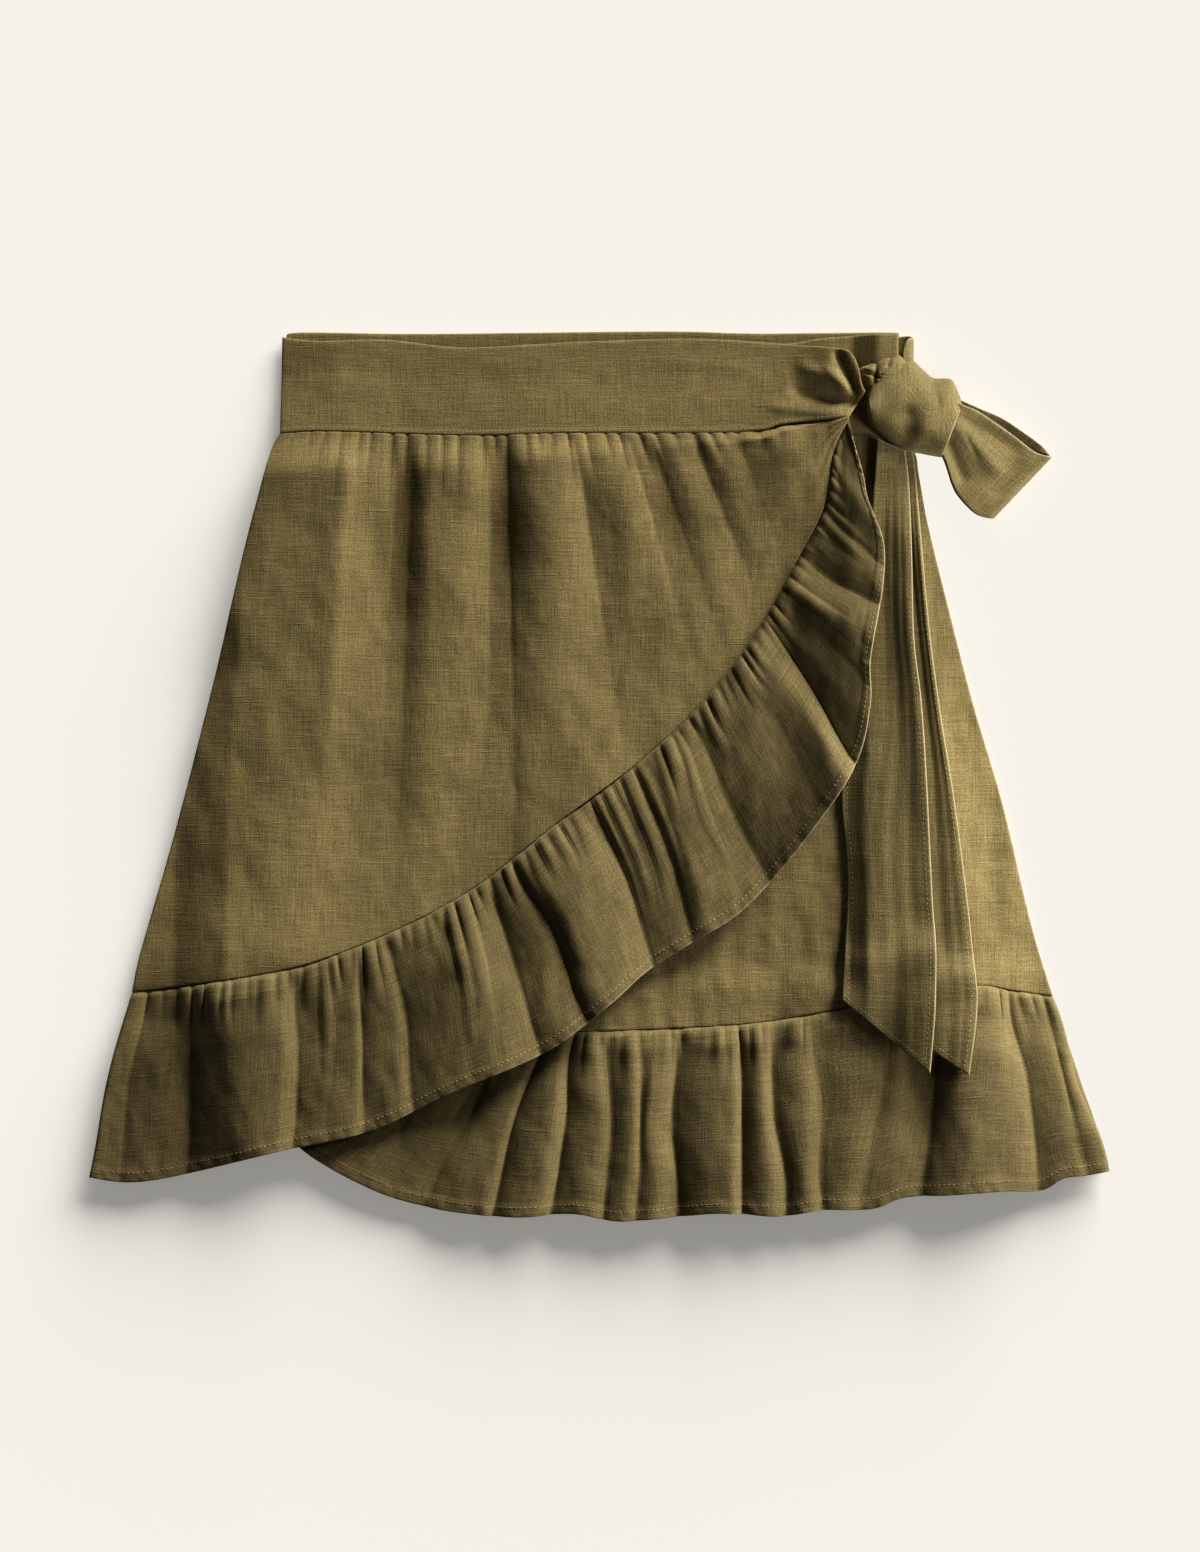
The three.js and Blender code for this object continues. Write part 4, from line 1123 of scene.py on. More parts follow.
TAIL_EDGES = {  # the left and the right edge, from the knot down
    "front": (
        ((163.6, 62.6), (160.1, 109.0), (153.1, 184.4), (145.6, 248.2), (143.3, 271.4),
         (146.2, 305.1), (146.7, 327.1), (143.3, 386.9)),
        ((179.8, 69.6), (182.1, 91.6), (183.3, 133.4), (184.4, 178.6), (188.5, 213.4),
         (191.4, 255.8), (194.9, 327.1), (196.6, 353.2), (196.0, 392.1), (193.1, 428.0)),
    ),
    "rear": (
        ((170.5, 66.1), (169.4, 155.4), (167.0, 271.4), (168.2, 397.9)),
        ((184.4, 69.6), (186.8, 91.6), (192.6, 161.8), (198.9, 213.4), (207.6, 269.1),
         (215.2, 327.1), (219.8, 372.4), (220.4, 393.2), (215.8, 429.8)),
    ),
}
TAIL_CREASES = {  # across the tail, height
    "front": (
        (0, 0.1), (0.14, 0.4), (0.26, 0.8), (0.36, 1.0), (0.55, 2.2), (0.75, 4.0), (0.9, 5.4),
        (1, 5.7),
    ),
    "rear": ((0, 0.4), (0.3, 1.6), (0.55, 0.3), (0.7, 0.6), (0.85, 3.0), (0.94, 4.4), (1, 4.6)),
}


@dataclass
class Tail:
    """One tail of the tie, from the knot to its slanted end.

    Attributes:
        key: its name in the tables of tails.
        name: the piece's name.
        node: the node that it stands for.
        columns: number of columns.
        rows: number of even rows.
        sway: how far the creases wander, as a share of the width.
        settling: how much lower the creases are at the end.
    """

    key: str
    name: str
    node: str
    columns: int = 44
    rows: int = 170
    sway: float = 0.06
    settling: float = 0.35

    def cloth(self, rest: Rest) -> Cloth:
        """Lays the tail.

        Args:
            rest: the height of what it lies on.

        Returns:
            The tail's shell.
        """
        left, right = (Outline(table) for table in TAIL_EDGES[self.key])

        def edges(across: np.ndarray, depth: np.ndarray) -> tuple[np.ndarray, ...]:
            """The four edges at shares of columns and rows.

            Args:
                across: the columns' shares.
                depth: the rows' shares.

            Returns:
                The upper, lower, left and right edge.
            """
            corners = zip(left.at(ENDS), right.at(ENDS))
            top, foot = (mix(start, end, across[:, None]) for start, end in corners)
            return top, foot, left.at(depth), right.at(depth)

        def relief(u: np.ndarray, v: np.ndarray, x: np.ndarray, d: np.ndarray) -> np.ndarray:
            """Long creases that start at the knot, with small rumples.

            Args:
                u: the columns' shares.
                v: the rows' shares.
                x: x of the places.
                d: d of the places.

            Returns:
                The height over what is below.
            """
            aside = self.sway * np.sin(v * 9.0 + 1.0) * np.sin(np.pi * u)
            long = read_table(TAIL_CREASES[self.key], np.clip(u + aside, 0, 1))
            rumple = rumpled(x, d, Crumple(31, (8.0, 22.0), 0.15), Crumple(32, (16.0, 50.0), 0.35))
            return long * ease(5 * v) * (1 - self.settling * v) + rumple * ease(6 * v)

        panel = Panel(self.name, self.node, self.columns, self.rows, DOUBLE, relief, ALL_EDGES)
        return panel.cloth(edges, rest)


@dataclass
class Strap:
    """The tie's stretch behind the back waistband, and its turn to the knot.

    Attributes:
        name: the piece's name.
        node: the node that it stands for.
        path: x, d of the upper edge, d of the lower edge and z along it.
        width: about how wide it is.
        columns: number of even columns from edge to edge.
        rows: number of rows along it.
    """

    name: str = "back_tie_cloth"
    node: str = "back_tie"
    path: Sequence[tuple[float, ...]] = (
        (-176.0, 3.5, 52.0, 0.85), (-90.0, 3.5, 52.0, 0.85), (0.0, 3.5, 52.0, 0.85),
        (90.0, 3.5, 52.0, 0.85), (150.0, 3.5, 52.0, 0.85), (174.5, 3.4, 52.0, 0.9),
        (181.4, 2.2, 46.0, 1.6), (184.6, 3.2, 36.0, 4.6), (184.2, 4.6, 30.0, 7.2),
        (182.4, 4.2, 29.0, 9.6), (179.8, 6.4, 28.0, 10.8), (178.4, 13.0, 28.0, 11.0),
    )
    width: float = 48.0
    columns: int = 24
    rows: int = 160

    def cloth(self) -> Cloth:
        """The strap along its path.

        Returns:
            The strap's shell.
        """
        line = blend_rows(self.path, np.linspace(0, len(self.path) - 1, self.rows))
        share = depths(self.columns, self.width)
        x = line[:, 0][:, None] + 0 * share
        d = mix(line[:, 1][:, None], line[:, 2][:, None], share)
        z = line[:, 3][:, None] + 0 * share
        flat = np.stack([x, d], axis=-1)
        return Cloth(self.name, np.stack([x, d, z], axis=-1), flat, DOUBLE, (Edge.LEFT, Edge.RIGHT))


@dataclass
class Knot:
    """The knot's wrap: the strap's wrap over the tie; the pleated root at its left is a piece of
    its own.

    Attributes:
        name: the piece's name.
        node: the node that it stands for.
        crown: its greatest height.
        foot: the height of its upper and lower edge.
        lean: over 1, the crown lies nearer to the lower edge.
        blunt: below 1 makes the arch fuller.
        left: share of the arch that is left at its left end.
        wall: its thickness.
        width: about how wide it is.
        upper: its upper edge, left to right.
        lower: its lower edge, left to right.
        creases: the creases over it.
        columns: number of even columns.
        rows: number of rows over the arch.
    """

    name: str = "tie_knot_cloth"
    node: str = "tie_knot"
    crown: float = 21.6
    foot: float = 7.0
    lean: float = 1.35
    blunt: float = 0.8
    left: float = 0.55
    wall: float = 1.4
    width: float = 75.0
    upper: Places = (
        (158.0, 43.0), (159.4, 34.0), (163.4, 25.4), (170.0, 20.6), (176.6, 17.6), (183.4, 17.2),
        (190.0, 23.0), (196.2, 27.8), (205.6, 28.4), (208.6, 32.0), (212.8, 42.8),
    )
    lower: Places = (
        (158.0, 44.6), (158.8, 50.0), (161.4, 56.0), (170.0, 63.4), (179.2, 69.0), (187.6, 70.2),
        (194.0, 71.4), (201.0, 72.6),
    )
    creases: Sequence[Crease] = (
        Crease((182.0, 45.0), (178.0, 74.0), -2.0, 6.0),
        Crease((193.0, 30.0), (190.0, 62.0), 1.4, 5.5),
        Crease((194.0, 24.0), (199.0, 46.0), -0.8, 2.2),
        Crease((163.0, 52.0), (184.0, 46.0), -0.7, 5.0),
        Crease((166.0, 26.0), (180.0, 38.0), 0.8, 6.0),
    )
    columns: int = 96
    rows: int = 110

    def cloth(self) -> Cloth:
        """The wrap, an arch from its upper edge over to its lower edge.

        Returns:
            The knot's shell.
        """
        upper, lower = Outline(self.upper), Outline(self.lower)
        across = depths(self.columns, self.width)[None, :]
        turn = np.linspace(0.0, 1.0, self.rows)[:, None]
        top, foot = upper.at(across[0]), lower.at(across[0])
        place = mix(top, foot, ((1 - np.cos(np.pi * turn)) / 2)[..., None])
        x, d = place[..., 0], place[..., 1]
        body = mix(self.left, 1.0, ease(across * 10))
        arch = np.sin(np.pi * turn**self.lean) ** self.blunt
        height = self.foot + (self.crown - self.foot) * arch * body
        rumple = Crumple(41, (7.0, 9.0), 0.3).at(x, d)
        z = height + (creased(self.creases, x, d) + rumple) * arch * body
        girth = np.pi / 2 * np.linalg.norm(foot - top, axis=1)[None, :] * turn
        flat = np.stack([x, girth], axis=-1)
        return Cloth(self.name, np.stack([x, d, z], axis=-1), flat, self.wall, (Edge.RIGHT,))


@dataclass
class KnotRoot:
    """The pleated start of the tie, where the waistband's end enters the knot.

    Attributes:
        name: the piece's name.
        node: the node that it stands for.
        outline: its edge all round, from its left and back to there.
        middle: where it stands highest.
        foot: the height of its edge.
        crown: its greatest height.
        blunt: over 2 makes the mound fuller.
        wall: its thickness.
        spokes: number of places round each ring.
        rings: number of rings.
        creases: the pleats in it.
    """

    name: str = "knot_root_cloth"
    node: str = "tie_knot"
    outline: Places = (
        (153.7, 22.0), (158.0, 20.4), (161.6, 19.0), (169.6, 15.0), (177.0, 15.0), (180.0, 20.0),
        (176.0, 30.0), (168.0, 38.0), (160.0, 37.0), (156.0, 33.0), (154.0, 27.0), (153.7, 22.0),
    )
    middle: tuple[float, float] = (166.0, 26.0)
    foot: float = 9.0
    crown: float = 17.5
    blunt: float = 2.6
    wall: float = 1.0
    spokes: int = 97
    rings: int = 34
    creases: Sequence[Crease] = (
        Crease((155.0, 23.5), (165.0, 28.0), -2.4, 1.2),
        Crease((163.5, 17.5), (161.5, 33.0), -2.2, 1.3),
        Crease((172.0, 15.0), (169.0, 22.0), -1.8, 1.2),
    )

    def cloth(self) -> Cloth:
        """A low pleated mound, ring by ring from its middle.

        Returns:
            The mound's shell.
        """
        edge = Outline(self.outline).at(np.linspace(0, 1, self.spokes))
        share = np.sin(np.linspace(0.02, 1.0, self.rings) * np.pi / 2)[:, None, None]
        place = mix(np.array(self.middle), edge[None], share)
        x, d = place[..., 0], place[..., 1]
        dome = np.sqrt(np.maximum(1 - share[..., 0] ** self.blunt, 0.0))
        z = self.foot + (self.crown - self.foot) * dome + creased(self.creases, x, d) * dome
        return Cloth(self.name, np.stack([x, d, z], axis=-1), place.copy(), self.wall)


@dataclass
class Loop:
    """The bow's loop: out from the knot, round a fold at its tip and back below.

    Attributes:
        name: the piece's name.
        node: the node that it stands for.
        upper: the upper edge of its front, from the knot to the tip.
        lower: the lower edge of both layers, the same way.
        back_upper: the upper edge of its back, the same way.
        straight: share of the way where the fold at the tip begins.
        front: heights of the front at the knot and at the tip.
        back: the same of the back.
        curl: how far the back layer's upper edge turns up.
        curl_width: share of the width over which it does.
        width: its width.
        wall: its thickness.
        columns: number of even columns from edge to edge.
        run_rows: number of rows along each layer.
        bend_rows: number of rows round the fold at the tip, with its ends.
        creases: the creases over its front.
    """

    name: str = "bow_loop_cloth"
    node: str = "bow_loop"
    upper: Places = (
        (205.0, 39.0), (213.3, 43.3), (221.0, 46.5), (232.0, 53.4), (244.2, 62.1), (255.2, 70.2),
        (264.8, 73.1),
    )
    lower: Places = (
        (196.0, 66.0), (201.6, 73.0), (204.7, 80.9), (207.1, 88.2), (211.1, 95.7), (221.0, 105.6),
        (230.5, 108.5),
    )
    back_upper: Places = (
        (205.0, 37.0), (214.0, 41.4), (223.8, 45.6), (236.0, 50.8), (246.8, 57.8), (256.6, 64.8),
        (264.8, 71.8),
    )
    straight: float = 0.94
    front: tuple[float, float] = (14.5, 9.2)
    back: tuple[float, float] = (4.0, 1.2)
    curl: float = 7.0
    curl_width: float = 0.12
    width: float = 48.0
    wall: float = 1.3
    columns: int = 54
    run_rows: int = 90
    bend_rows: int = 22
    creases: Sequence[Crease] = (
        Crease((206.0, 52.0), (236.0, 84.0), 1.6, 4.5),
        Crease((203.0, 62.0), (214.0, 88.0), -1.8, 4.0),
        Crease((212.0, 50.0), (246.0, 70.0), -1.2, 4.5),
        Crease((214.0, 60.0), (222.0, 74.0), -0.6, 1.6),
        Crease((232.0, 66.0), (222.0, 98.0), 0.7, 8.0),
        Crease((246.0, 74.0), (230.0, 98.0), -0.6, 6.0),
    )

    def cloth(self) -> Cloth:
        """The loop's one strip.

        Returns:
            The strip's shell, its rows from the knot round to the knot.
        """
        upper, lower, behind = Outline(self.upper), Outline(self.lower), Outline(self.back_upper)
        run, bend = np.linspace(0, 1, self.run_rows), np.linspace(0, 1, self.bend_rows)[1:-1]
        tip = (self.front[1] - self.back[1]) / 2
        share = np.concatenate([run, 1 + 0 * bend, run[::-1]]) * self.straight
        share[len(run):-len(run)] += (1 - self.straight) * np.sin(np.pi * bend)
        height = np.concatenate([
            mix(self.front[0], self.front[1], ease(run)),
            self.back[1] + tip + tip * np.cos(np.pi * bend),
            mix(self.back[0], self.back[1], ease(run[::-1] * 1.6)),
        ])
        turned = np.concatenate([0 * run, ease(bend), 1 + 0 * run])[:, None]
        across = depths(self.columns, self.width)
        top = mix(upper.at(share), behind.at(share), turned)
        place = mix(top[:, None], lower.at(share)[:, None], across[None, :, None])
        x, d = place[..., 0], place[..., 1]
        to_tip = 1 - share[:, None]
        relief = creased(self.creases, x, d) + Crumple(61, (9.0, 12.0), 0.35).at(x, d)
        turned_up = np.clip(1 - across / self.curl_width, 0.0, 1.0)
        curl = self.curl * turned * turned_up * ease(to_tip * 9)
        z = height[:, None] + relief * (1 - turned) * ease(to_tip * 6) + curl
        steps = np.linalg.norm(np.diff(place.mean(axis=1), axis=0), axis=1)
        along = np.concatenate([[0.0], np.cumsum(steps)])
        flat = np.stack([along[:, None] + 0 * x, across * TIE_WIDTH + 0 * x], axis=-1)
        net = np.stack([x, d, z], axis=-1)
        # painted shade: the back layer lies in shade inside the loop, so it gets no pale worn edge;
        # the front keeps it
        return Cloth(self.name, net, flat, self.wall, (Edge.LEFT, Edge.RIGHT), 1 - turned)


@dataclass
class StitchRow:
    """A row of small stitches on a cloth.

    Attributes:
        line: places of the row on the cloth's surface.
        facing: unit vectors out of the cloth there.
        length: a stitch's length.
        pitch: from stitch to stitch.
        width: a stitch's width.
        rings: its size at its start, middle and end, as shares of that width.
        flatness: its height as a share of its width.
        lift: how much higher its middle stands, as a share of the difference in size.
    """

    line: np.ndarray
    facing: np.ndarray
    length: float = 2.1
    pitch: float = 2.9
    width: float = 0.42
    rings: tuple[float, float, float] = (0.45, 1.0, 0.45)
    flatness: float = 0.6
    lift: float = 0.1

    def shape(self) -> tuple[np.ndarray, np.ndarray]:
        """The points and quads of all the stitches.

        Returns:
            The points and the faces.
        """
        steps = np.linalg.norm(np.diff(self.line, axis=0), axis=1)
        reach = np.concatenate([[0.0], np.cumsum(steps)])
        middle = np.arange(self.pitch, reach[-1] - self.pitch, self.pitch)
        half = self.length / 2
        centres = [columns_at(middle + step, reach, self.line) for step in (-half, 0.0, half)]
        out = columns_at(middle, reach, self.facing)
        out /= np.linalg.norm(out, axis=1, keepdims=True)
        along = centres[2] - centres[0]
        along /= np.maximum(np.linalg.norm(along, axis=1, keepdims=True), 1e-6)
        aside = np.cross(out, along)
        corners = []
        for centre, size in zip(centres, self.rings):
            wide = self.width * size / 2
            high = wide * self.flatness
            lift = self.lift * (size - self.rings[0])
            for a, b in ((-1, -1), (1, -1), (1, 1), (-1, 1)):
                corners.append(centre + aside * (a * wide) + out * (b * high + lift))
        points = np.stack(corners, axis=1)
        faces = np.array(self.quads())[None] + 12 * np.arange(len(points))[:, None, None]
        return points.reshape(-1, 3), faces.reshape(-1, 4)

    @staticmethod
    def quads() -> list[list[int]]:
        """The faces of one stitch: three rings of four points, closed at its ends.

        Returns:
            The corners of its ten faces.
        """
        sides = [
            [ring + k, ring + (k + 1) % 4, ring + 4 + (k + 1) % 4, ring + 4 + k]
            for ring in (0, 4)
            for k in range(4)
        ]
        return sides + [[3, 2, 1, 0], [8, 9, 10, 11]]


def columns_at(at: np.ndarray, reach: np.ndarray, table: np.ndarray) -> np.ndarray:
    """Rows of a table read between its rows, which lie at the distances of reach."""
    return np.stack([np.interp(at, reach, column) for column in table.T], axis=-1)


def sew(name: str, rows: Sequence[StitchRow]) -> bpy.types.Object:
    """Joins rows of stitches into one object.

    Args:
        name: the object's name.
        rows: the rows of stitches.

    Returns:
        The new object.
    """
    places, faces, count = [], [], 0
    for row in rows:
        points, quads = row.shape()
        places.append(points)
        faces.append(quads + count)
        count += len(points)
    return mesh_object(name, np.concatenate(places), np.concatenate(faces))


def stitched_row(cloth: Cloth, row: int, **sizes: float) -> StitchRow:
    """A row of stitches along a row of a cloth's net."""
    return StitchRow(cloth.sides()[0][row], cloth.facing()[row], **sizes)


def stitched_column(cloth: Cloth, column: int, **sizes: float) -> StitchRow:
    """A row of stitches down a column of a cloth's net."""
    return StitchRow(cloth.sides()[0][:, column], cloth.facing()[:, column], **sizes)


class Effect:
    """A node group that several finishes use."""

    def __init__(self, name: str, inputs: Sequence[str], outputs: Sequence[str]) -> None:
        """Makes the group with its sockets.

        Args:
            name: the group's name.
            inputs: names of its vector inputs.
            outputs: names of its value outputs.
        """
        self.tree = bpy.data.node_groups.new(name, "ShaderNodeTree")
        for socket in inputs:
            self.tree.interface.new_socket(socket, in_out="INPUT", socket_type="NodeSocketVector")
        for socket in outputs:
            self.tree.interface.new_socket(socket, in_out="OUTPUT", socket_type="NodeSocketFloat")
        self.source = self.tree.nodes.new("NodeGroupInput")
        self.result = self.tree.nodes.new("NodeGroupOutput")

    def node(self, kind: str, links: dict | None = None, **settings: object) -> bpy.types.Node:
        """Adds a node to the group, with its settings and its inputs' links."""
        return add_node(self.tree, kind, links, **settings)

    def scaled(self, scale: Triple, shift: float) -> bpy.types.NodeSocket:
        """The group's vector input, scaled and shifted.

        Args:
            scale: factors along each way.
            shift: how far it moves.

        Returns:
            The new vector.
        """
        links = {"Vector": self.source.outputs[0]}
        made = self.node("ShaderNodeMapping", links, vector_type="POINT")
        made.inputs["Scale"].default_value = scale
        made.inputs["Location"].default_value = (shift, shift * 0.7, shift * 1.3)
        return made.outputs["Vector"]

    def noise(self, scale: Triple, shift: float, detail: float = 2.0) -> bpy.types.NodeSocket:
        """Smooth noise over the group's vector input.

        Args:
            scale: changes to a millimetre along each way.
            shift: moves it, so that two of them differ.
            detail: how many finer sizes are laid over it.

        Returns:
            Its value, from 0 to 1.
        """
        made = self.node("ShaderNodeTexNoise", {"Vector": self.scaled(scale, shift)})
        made.inputs["Scale"].default_value = 1.0
        made.inputs["Detail"].default_value = detail
        made.inputs["Roughness"].default_value = 0.55
        return made.outputs[0]

    def span(
        self, value: bpy.types.NodeSocket, low: float, high: float, out: tuple[float, float]
    ) -> bpy.types.NodeSocket:
        """Maps a value from low..high to a new span, clamped.

        Args:
            value: the value.
            low: its low end.
            high: its high end.
            out: the new ends.

        Returns:
            The new value.
        """
        made = self.node("ShaderNodeMapRange", {"Value": value}, interpolation_type="SMOOTHSTEP")
        ends = {"From Min": low, "From Max": high, "To Min": out[0], "To Max": out[1]}
        for key, number in ends.items():
            made.inputs[key].default_value = number
        return made.outputs[0]

    def sum(self, *values: bpy.types.NodeSocket) -> bpy.types.NodeSocket:
        """Adds values together.

        Args:
            values: two or more of them.

        Returns:
            Their sum.
        """
        total = values[0]
        for value in values[1:]:
            made = self.node("ShaderNodeMath", {0: total, 1: value}, operation="ADD")
            total = made.outputs[0]
        return total


def add_node(
    tree: bpy.types.NodeTree, kind: str, links: dict | None = None, **settings: object
) -> bpy.types.Node:
    """Adds a node.

    Args:
        tree: the tree that it goes into.
        kind: the node's type.
        links: its inputs by name or number, each with the output linked to it.
        settings: its own properties.

    Returns:
        The new node.
    """
    made = tree.nodes.new(kind)
    for key, value in settings.items():
        setattr(made, key, value)
    for key, output in (links or {}).items():
        tree.links.new(output, made.inputs[key])
    return made


class LinenWeave(Effect):
    """Plain weave of uneven linen threads: a shade and a height."""

    THREADS = 1.25  # to a millimetre
    ALONG = 0.045  # changes to a millimetre along a thread

    def __init__(self) -> None:
        """Builds the threads from stretched noise, and the slubs over them."""
        super().__init__("linen_weave", ["Cloth"], ["Shade", "Height"])
        weft = self.noise((self.ALONG, self.THREADS, 1.0), 3.1)
        warp = self.noise((self.THREADS, self.ALONG, 1.0), 17.7)
        slub_across = self.noise((0.07, 0.75, 1.0), 41.3, 1.0)
        slub_down = self.noise((0.75, 0.06, 1.0), 77.9, 1.0)
        fine = self.noise((1.6, 1.6, 1.0), 9.4, 0.0)
        shade = self.sum(
            self.span(weft, 0.25, 0.75, (-0.2, 0.2)),
            self.span(warp, 0.25, 0.75, (-0.2, 0.2)),
            self.span(fine, 0.2, 0.8, (-0.3, 0.3)),
            self.span(slub_across, 0.62, 0.76, (0.0, 0.14)),
            self.span(slub_down, 0.63, 0.77, (0.0, 0.12)),
            self.span(slub_across, 0.24, 0.38, (-0.16, 0.0)),
            self.span(slub_down, 0.24, 0.38, (-0.14, 0.0)),
        )
        self.tree.links.new(self.span(shade, -0.5, 0.5, (0.0, 1.0)), self.result.inputs["Shade"])
        height = self.sum(
            self.span(weft, 0.25, 0.75, (0.0, 0.3)),
            self.span(warp, 0.25, 0.75, (0.0, 0.3)),
            self.span(fine, 0.2, 0.8, (0.0, 0.3)),
            self.span(slub_across, 0.6, 0.8, (0.0, 0.5)),
        )
        self.tree.links.new(height, self.result.inputs["Height"])


class DyeMottle(Effect):
    """Soft clouds of washed dye, from 0 to 1."""

    def __init__(self) -> None:
        """Builds the clouds from two sizes of noise."""
        super().__init__("dye_mottle", ["Cloth"], ["Mask"])
        clouds = self.noise((0.018, 0.012, 1.0), 5.0, 3.0)
        patches = self.noise((0.07, 0.05, 1.0), 23.0, 2.0)
        total = self.sum(
            self.span(clouds, 0.3, 0.7, (0.0, 0.6)),
            self.span(patches, 0.3, 0.7, (0.0, 0.4)),
        )
        self.tree.links.new(total, self.result.inputs["Mask"])


def linear(red: int, green: int, blue: int) -> tuple[float, float, float, float]:
    """A colour given as 0 to 255 for the screen, as the shader takes it."""
    share = [value / 255 for value in (red, green, blue)]
    return (*[v / 12.92 if v <= 0.04045 else ((v + 0.055) / 1.055) ** 2.4 for v in share], 1.0)


@dataclass(frozen=True)
class LinenFinish:
    """Washed linen in one tone.

    Attributes:
        name: the material's name.
        dark: the colour between and in the shade of threads.
        light: the colour of raised threads and slubs.
        edge: the colour of worn edges.
        relief: how deep the weave looks, from 0 to 1.
        loft: height of its threads in metres.
        roughness: how dull it is.
        sheen: how much its fibres catch light from the side.
        sheen_tint: the colour of that.
        fading: darkest and lightest share that the dye clouds leave.
    """

    name: str
    dark: tuple[int, int, int]
    light: tuple[int, int, int]
    edge: tuple[int, int, int] = (136, 126, 96)
    relief: float = 0.5
    loft: float = 0.0004
    roughness: float = 0.88
    sheen: float = 0.22
    sheen_tint: tuple[int, int, int] = (226, 214, 178)
    fading: tuple[float, float] = (0.92, 1.08)

    def material(self, weave: Effect, mottle: Effect) -> bpy.types.Material:
        """Builds the material.

        Args:
            weave: the group of threads.
            mottle: the group of dye clouds.

        Returns:
            The new material.
        """
        made = bpy.data.materials.new(self.name)
        made.use_nodes = True
        tree = made.node_tree
        shader = tree.nodes["Principled BSDF"]
        place = add_node(tree, "ShaderNodeAttribute", attribute_name=CUT_PLACES).outputs["Vector"]
        threads = add_node(tree, "ShaderNodeGroup", node_tree=weave.tree)
        clouds = add_node(tree, "ShaderNodeGroup", node_tree=mottle.tree)
        for group in (threads, clouds):
            tree.links.new(place, group.inputs["Cloth"])
        tone = add_node(tree, "ShaderNodeMix", {0: threads.outputs["Shade"]}, data_type="RGBA")
        tone.inputs[MIX_A].default_value = linear(*self.dark)
        tone.inputs[MIX_B].default_value = linear(*self.light)
        faded = add_node(tree, "ShaderNodeMix", data_type="RGBA", blend_type="MULTIPLY")
        faded.inputs[0].default_value = 1.0
        split = add_node(tree, "ShaderNodeSeparateXYZ", {"Vector": place})
        span = add_node(tree, "ShaderNodeMapRange", {"Value": clouds.outputs["Mask"]})
        span.inputs["To Min"].default_value, span.inputs["To Max"].default_value = self.fading
        # the stored edge share mixes in the pale worn edge; it is lower where painted shade holds
        # the edge back, as on the loop's back layer
        wear = {0: split.outputs["Z"], MIX_A: tone.outputs[MIX_RESULT]}
        worn = add_node(tree, "ShaderNodeMix", wear, data_type="RGBA")
        worn.inputs[MIX_B].default_value = linear(*self.edge)
        tree.links.new(worn.outputs[MIX_RESULT], faded.inputs[MIX_A])
        tree.links.new(span.outputs[0], faded.inputs[MIX_B])
        tree.links.new(faded.outputs[MIX_RESULT], shader.inputs["Base Color"])
        bump = add_node(tree, "ShaderNodeBump", {"Height": threads.outputs["Height"]})
        bump.inputs["Strength"].default_value = self.relief
        bump.inputs["Distance"].default_value = self.loft
        tree.links.new(bump.outputs["Normal"], shader.inputs["Normal"])
        shader.inputs["Roughness"].default_value = self.roughness
        shader.inputs["Sheen Weight"].default_value = self.sheen
        shader.inputs["Sheen Roughness"].default_value = 0.5
        shader.inputs["Sheen Tint"].default_value = linear(*self.sheen_tint)
        shader.inputs["Specular IOR Level"].default_value = 0.25
        return made


@dataclass(frozen=True)
class Cut:
    """The flat cut of a piece of cloth.

    Attributes:
        width: its width in metres.
        length: its length in metres.
        hold: how it is held now.
        area: its area in square metres where it isn't a rectangle.
    """

    width: float
    length: float
    hold: Hold
    area: float | None = None


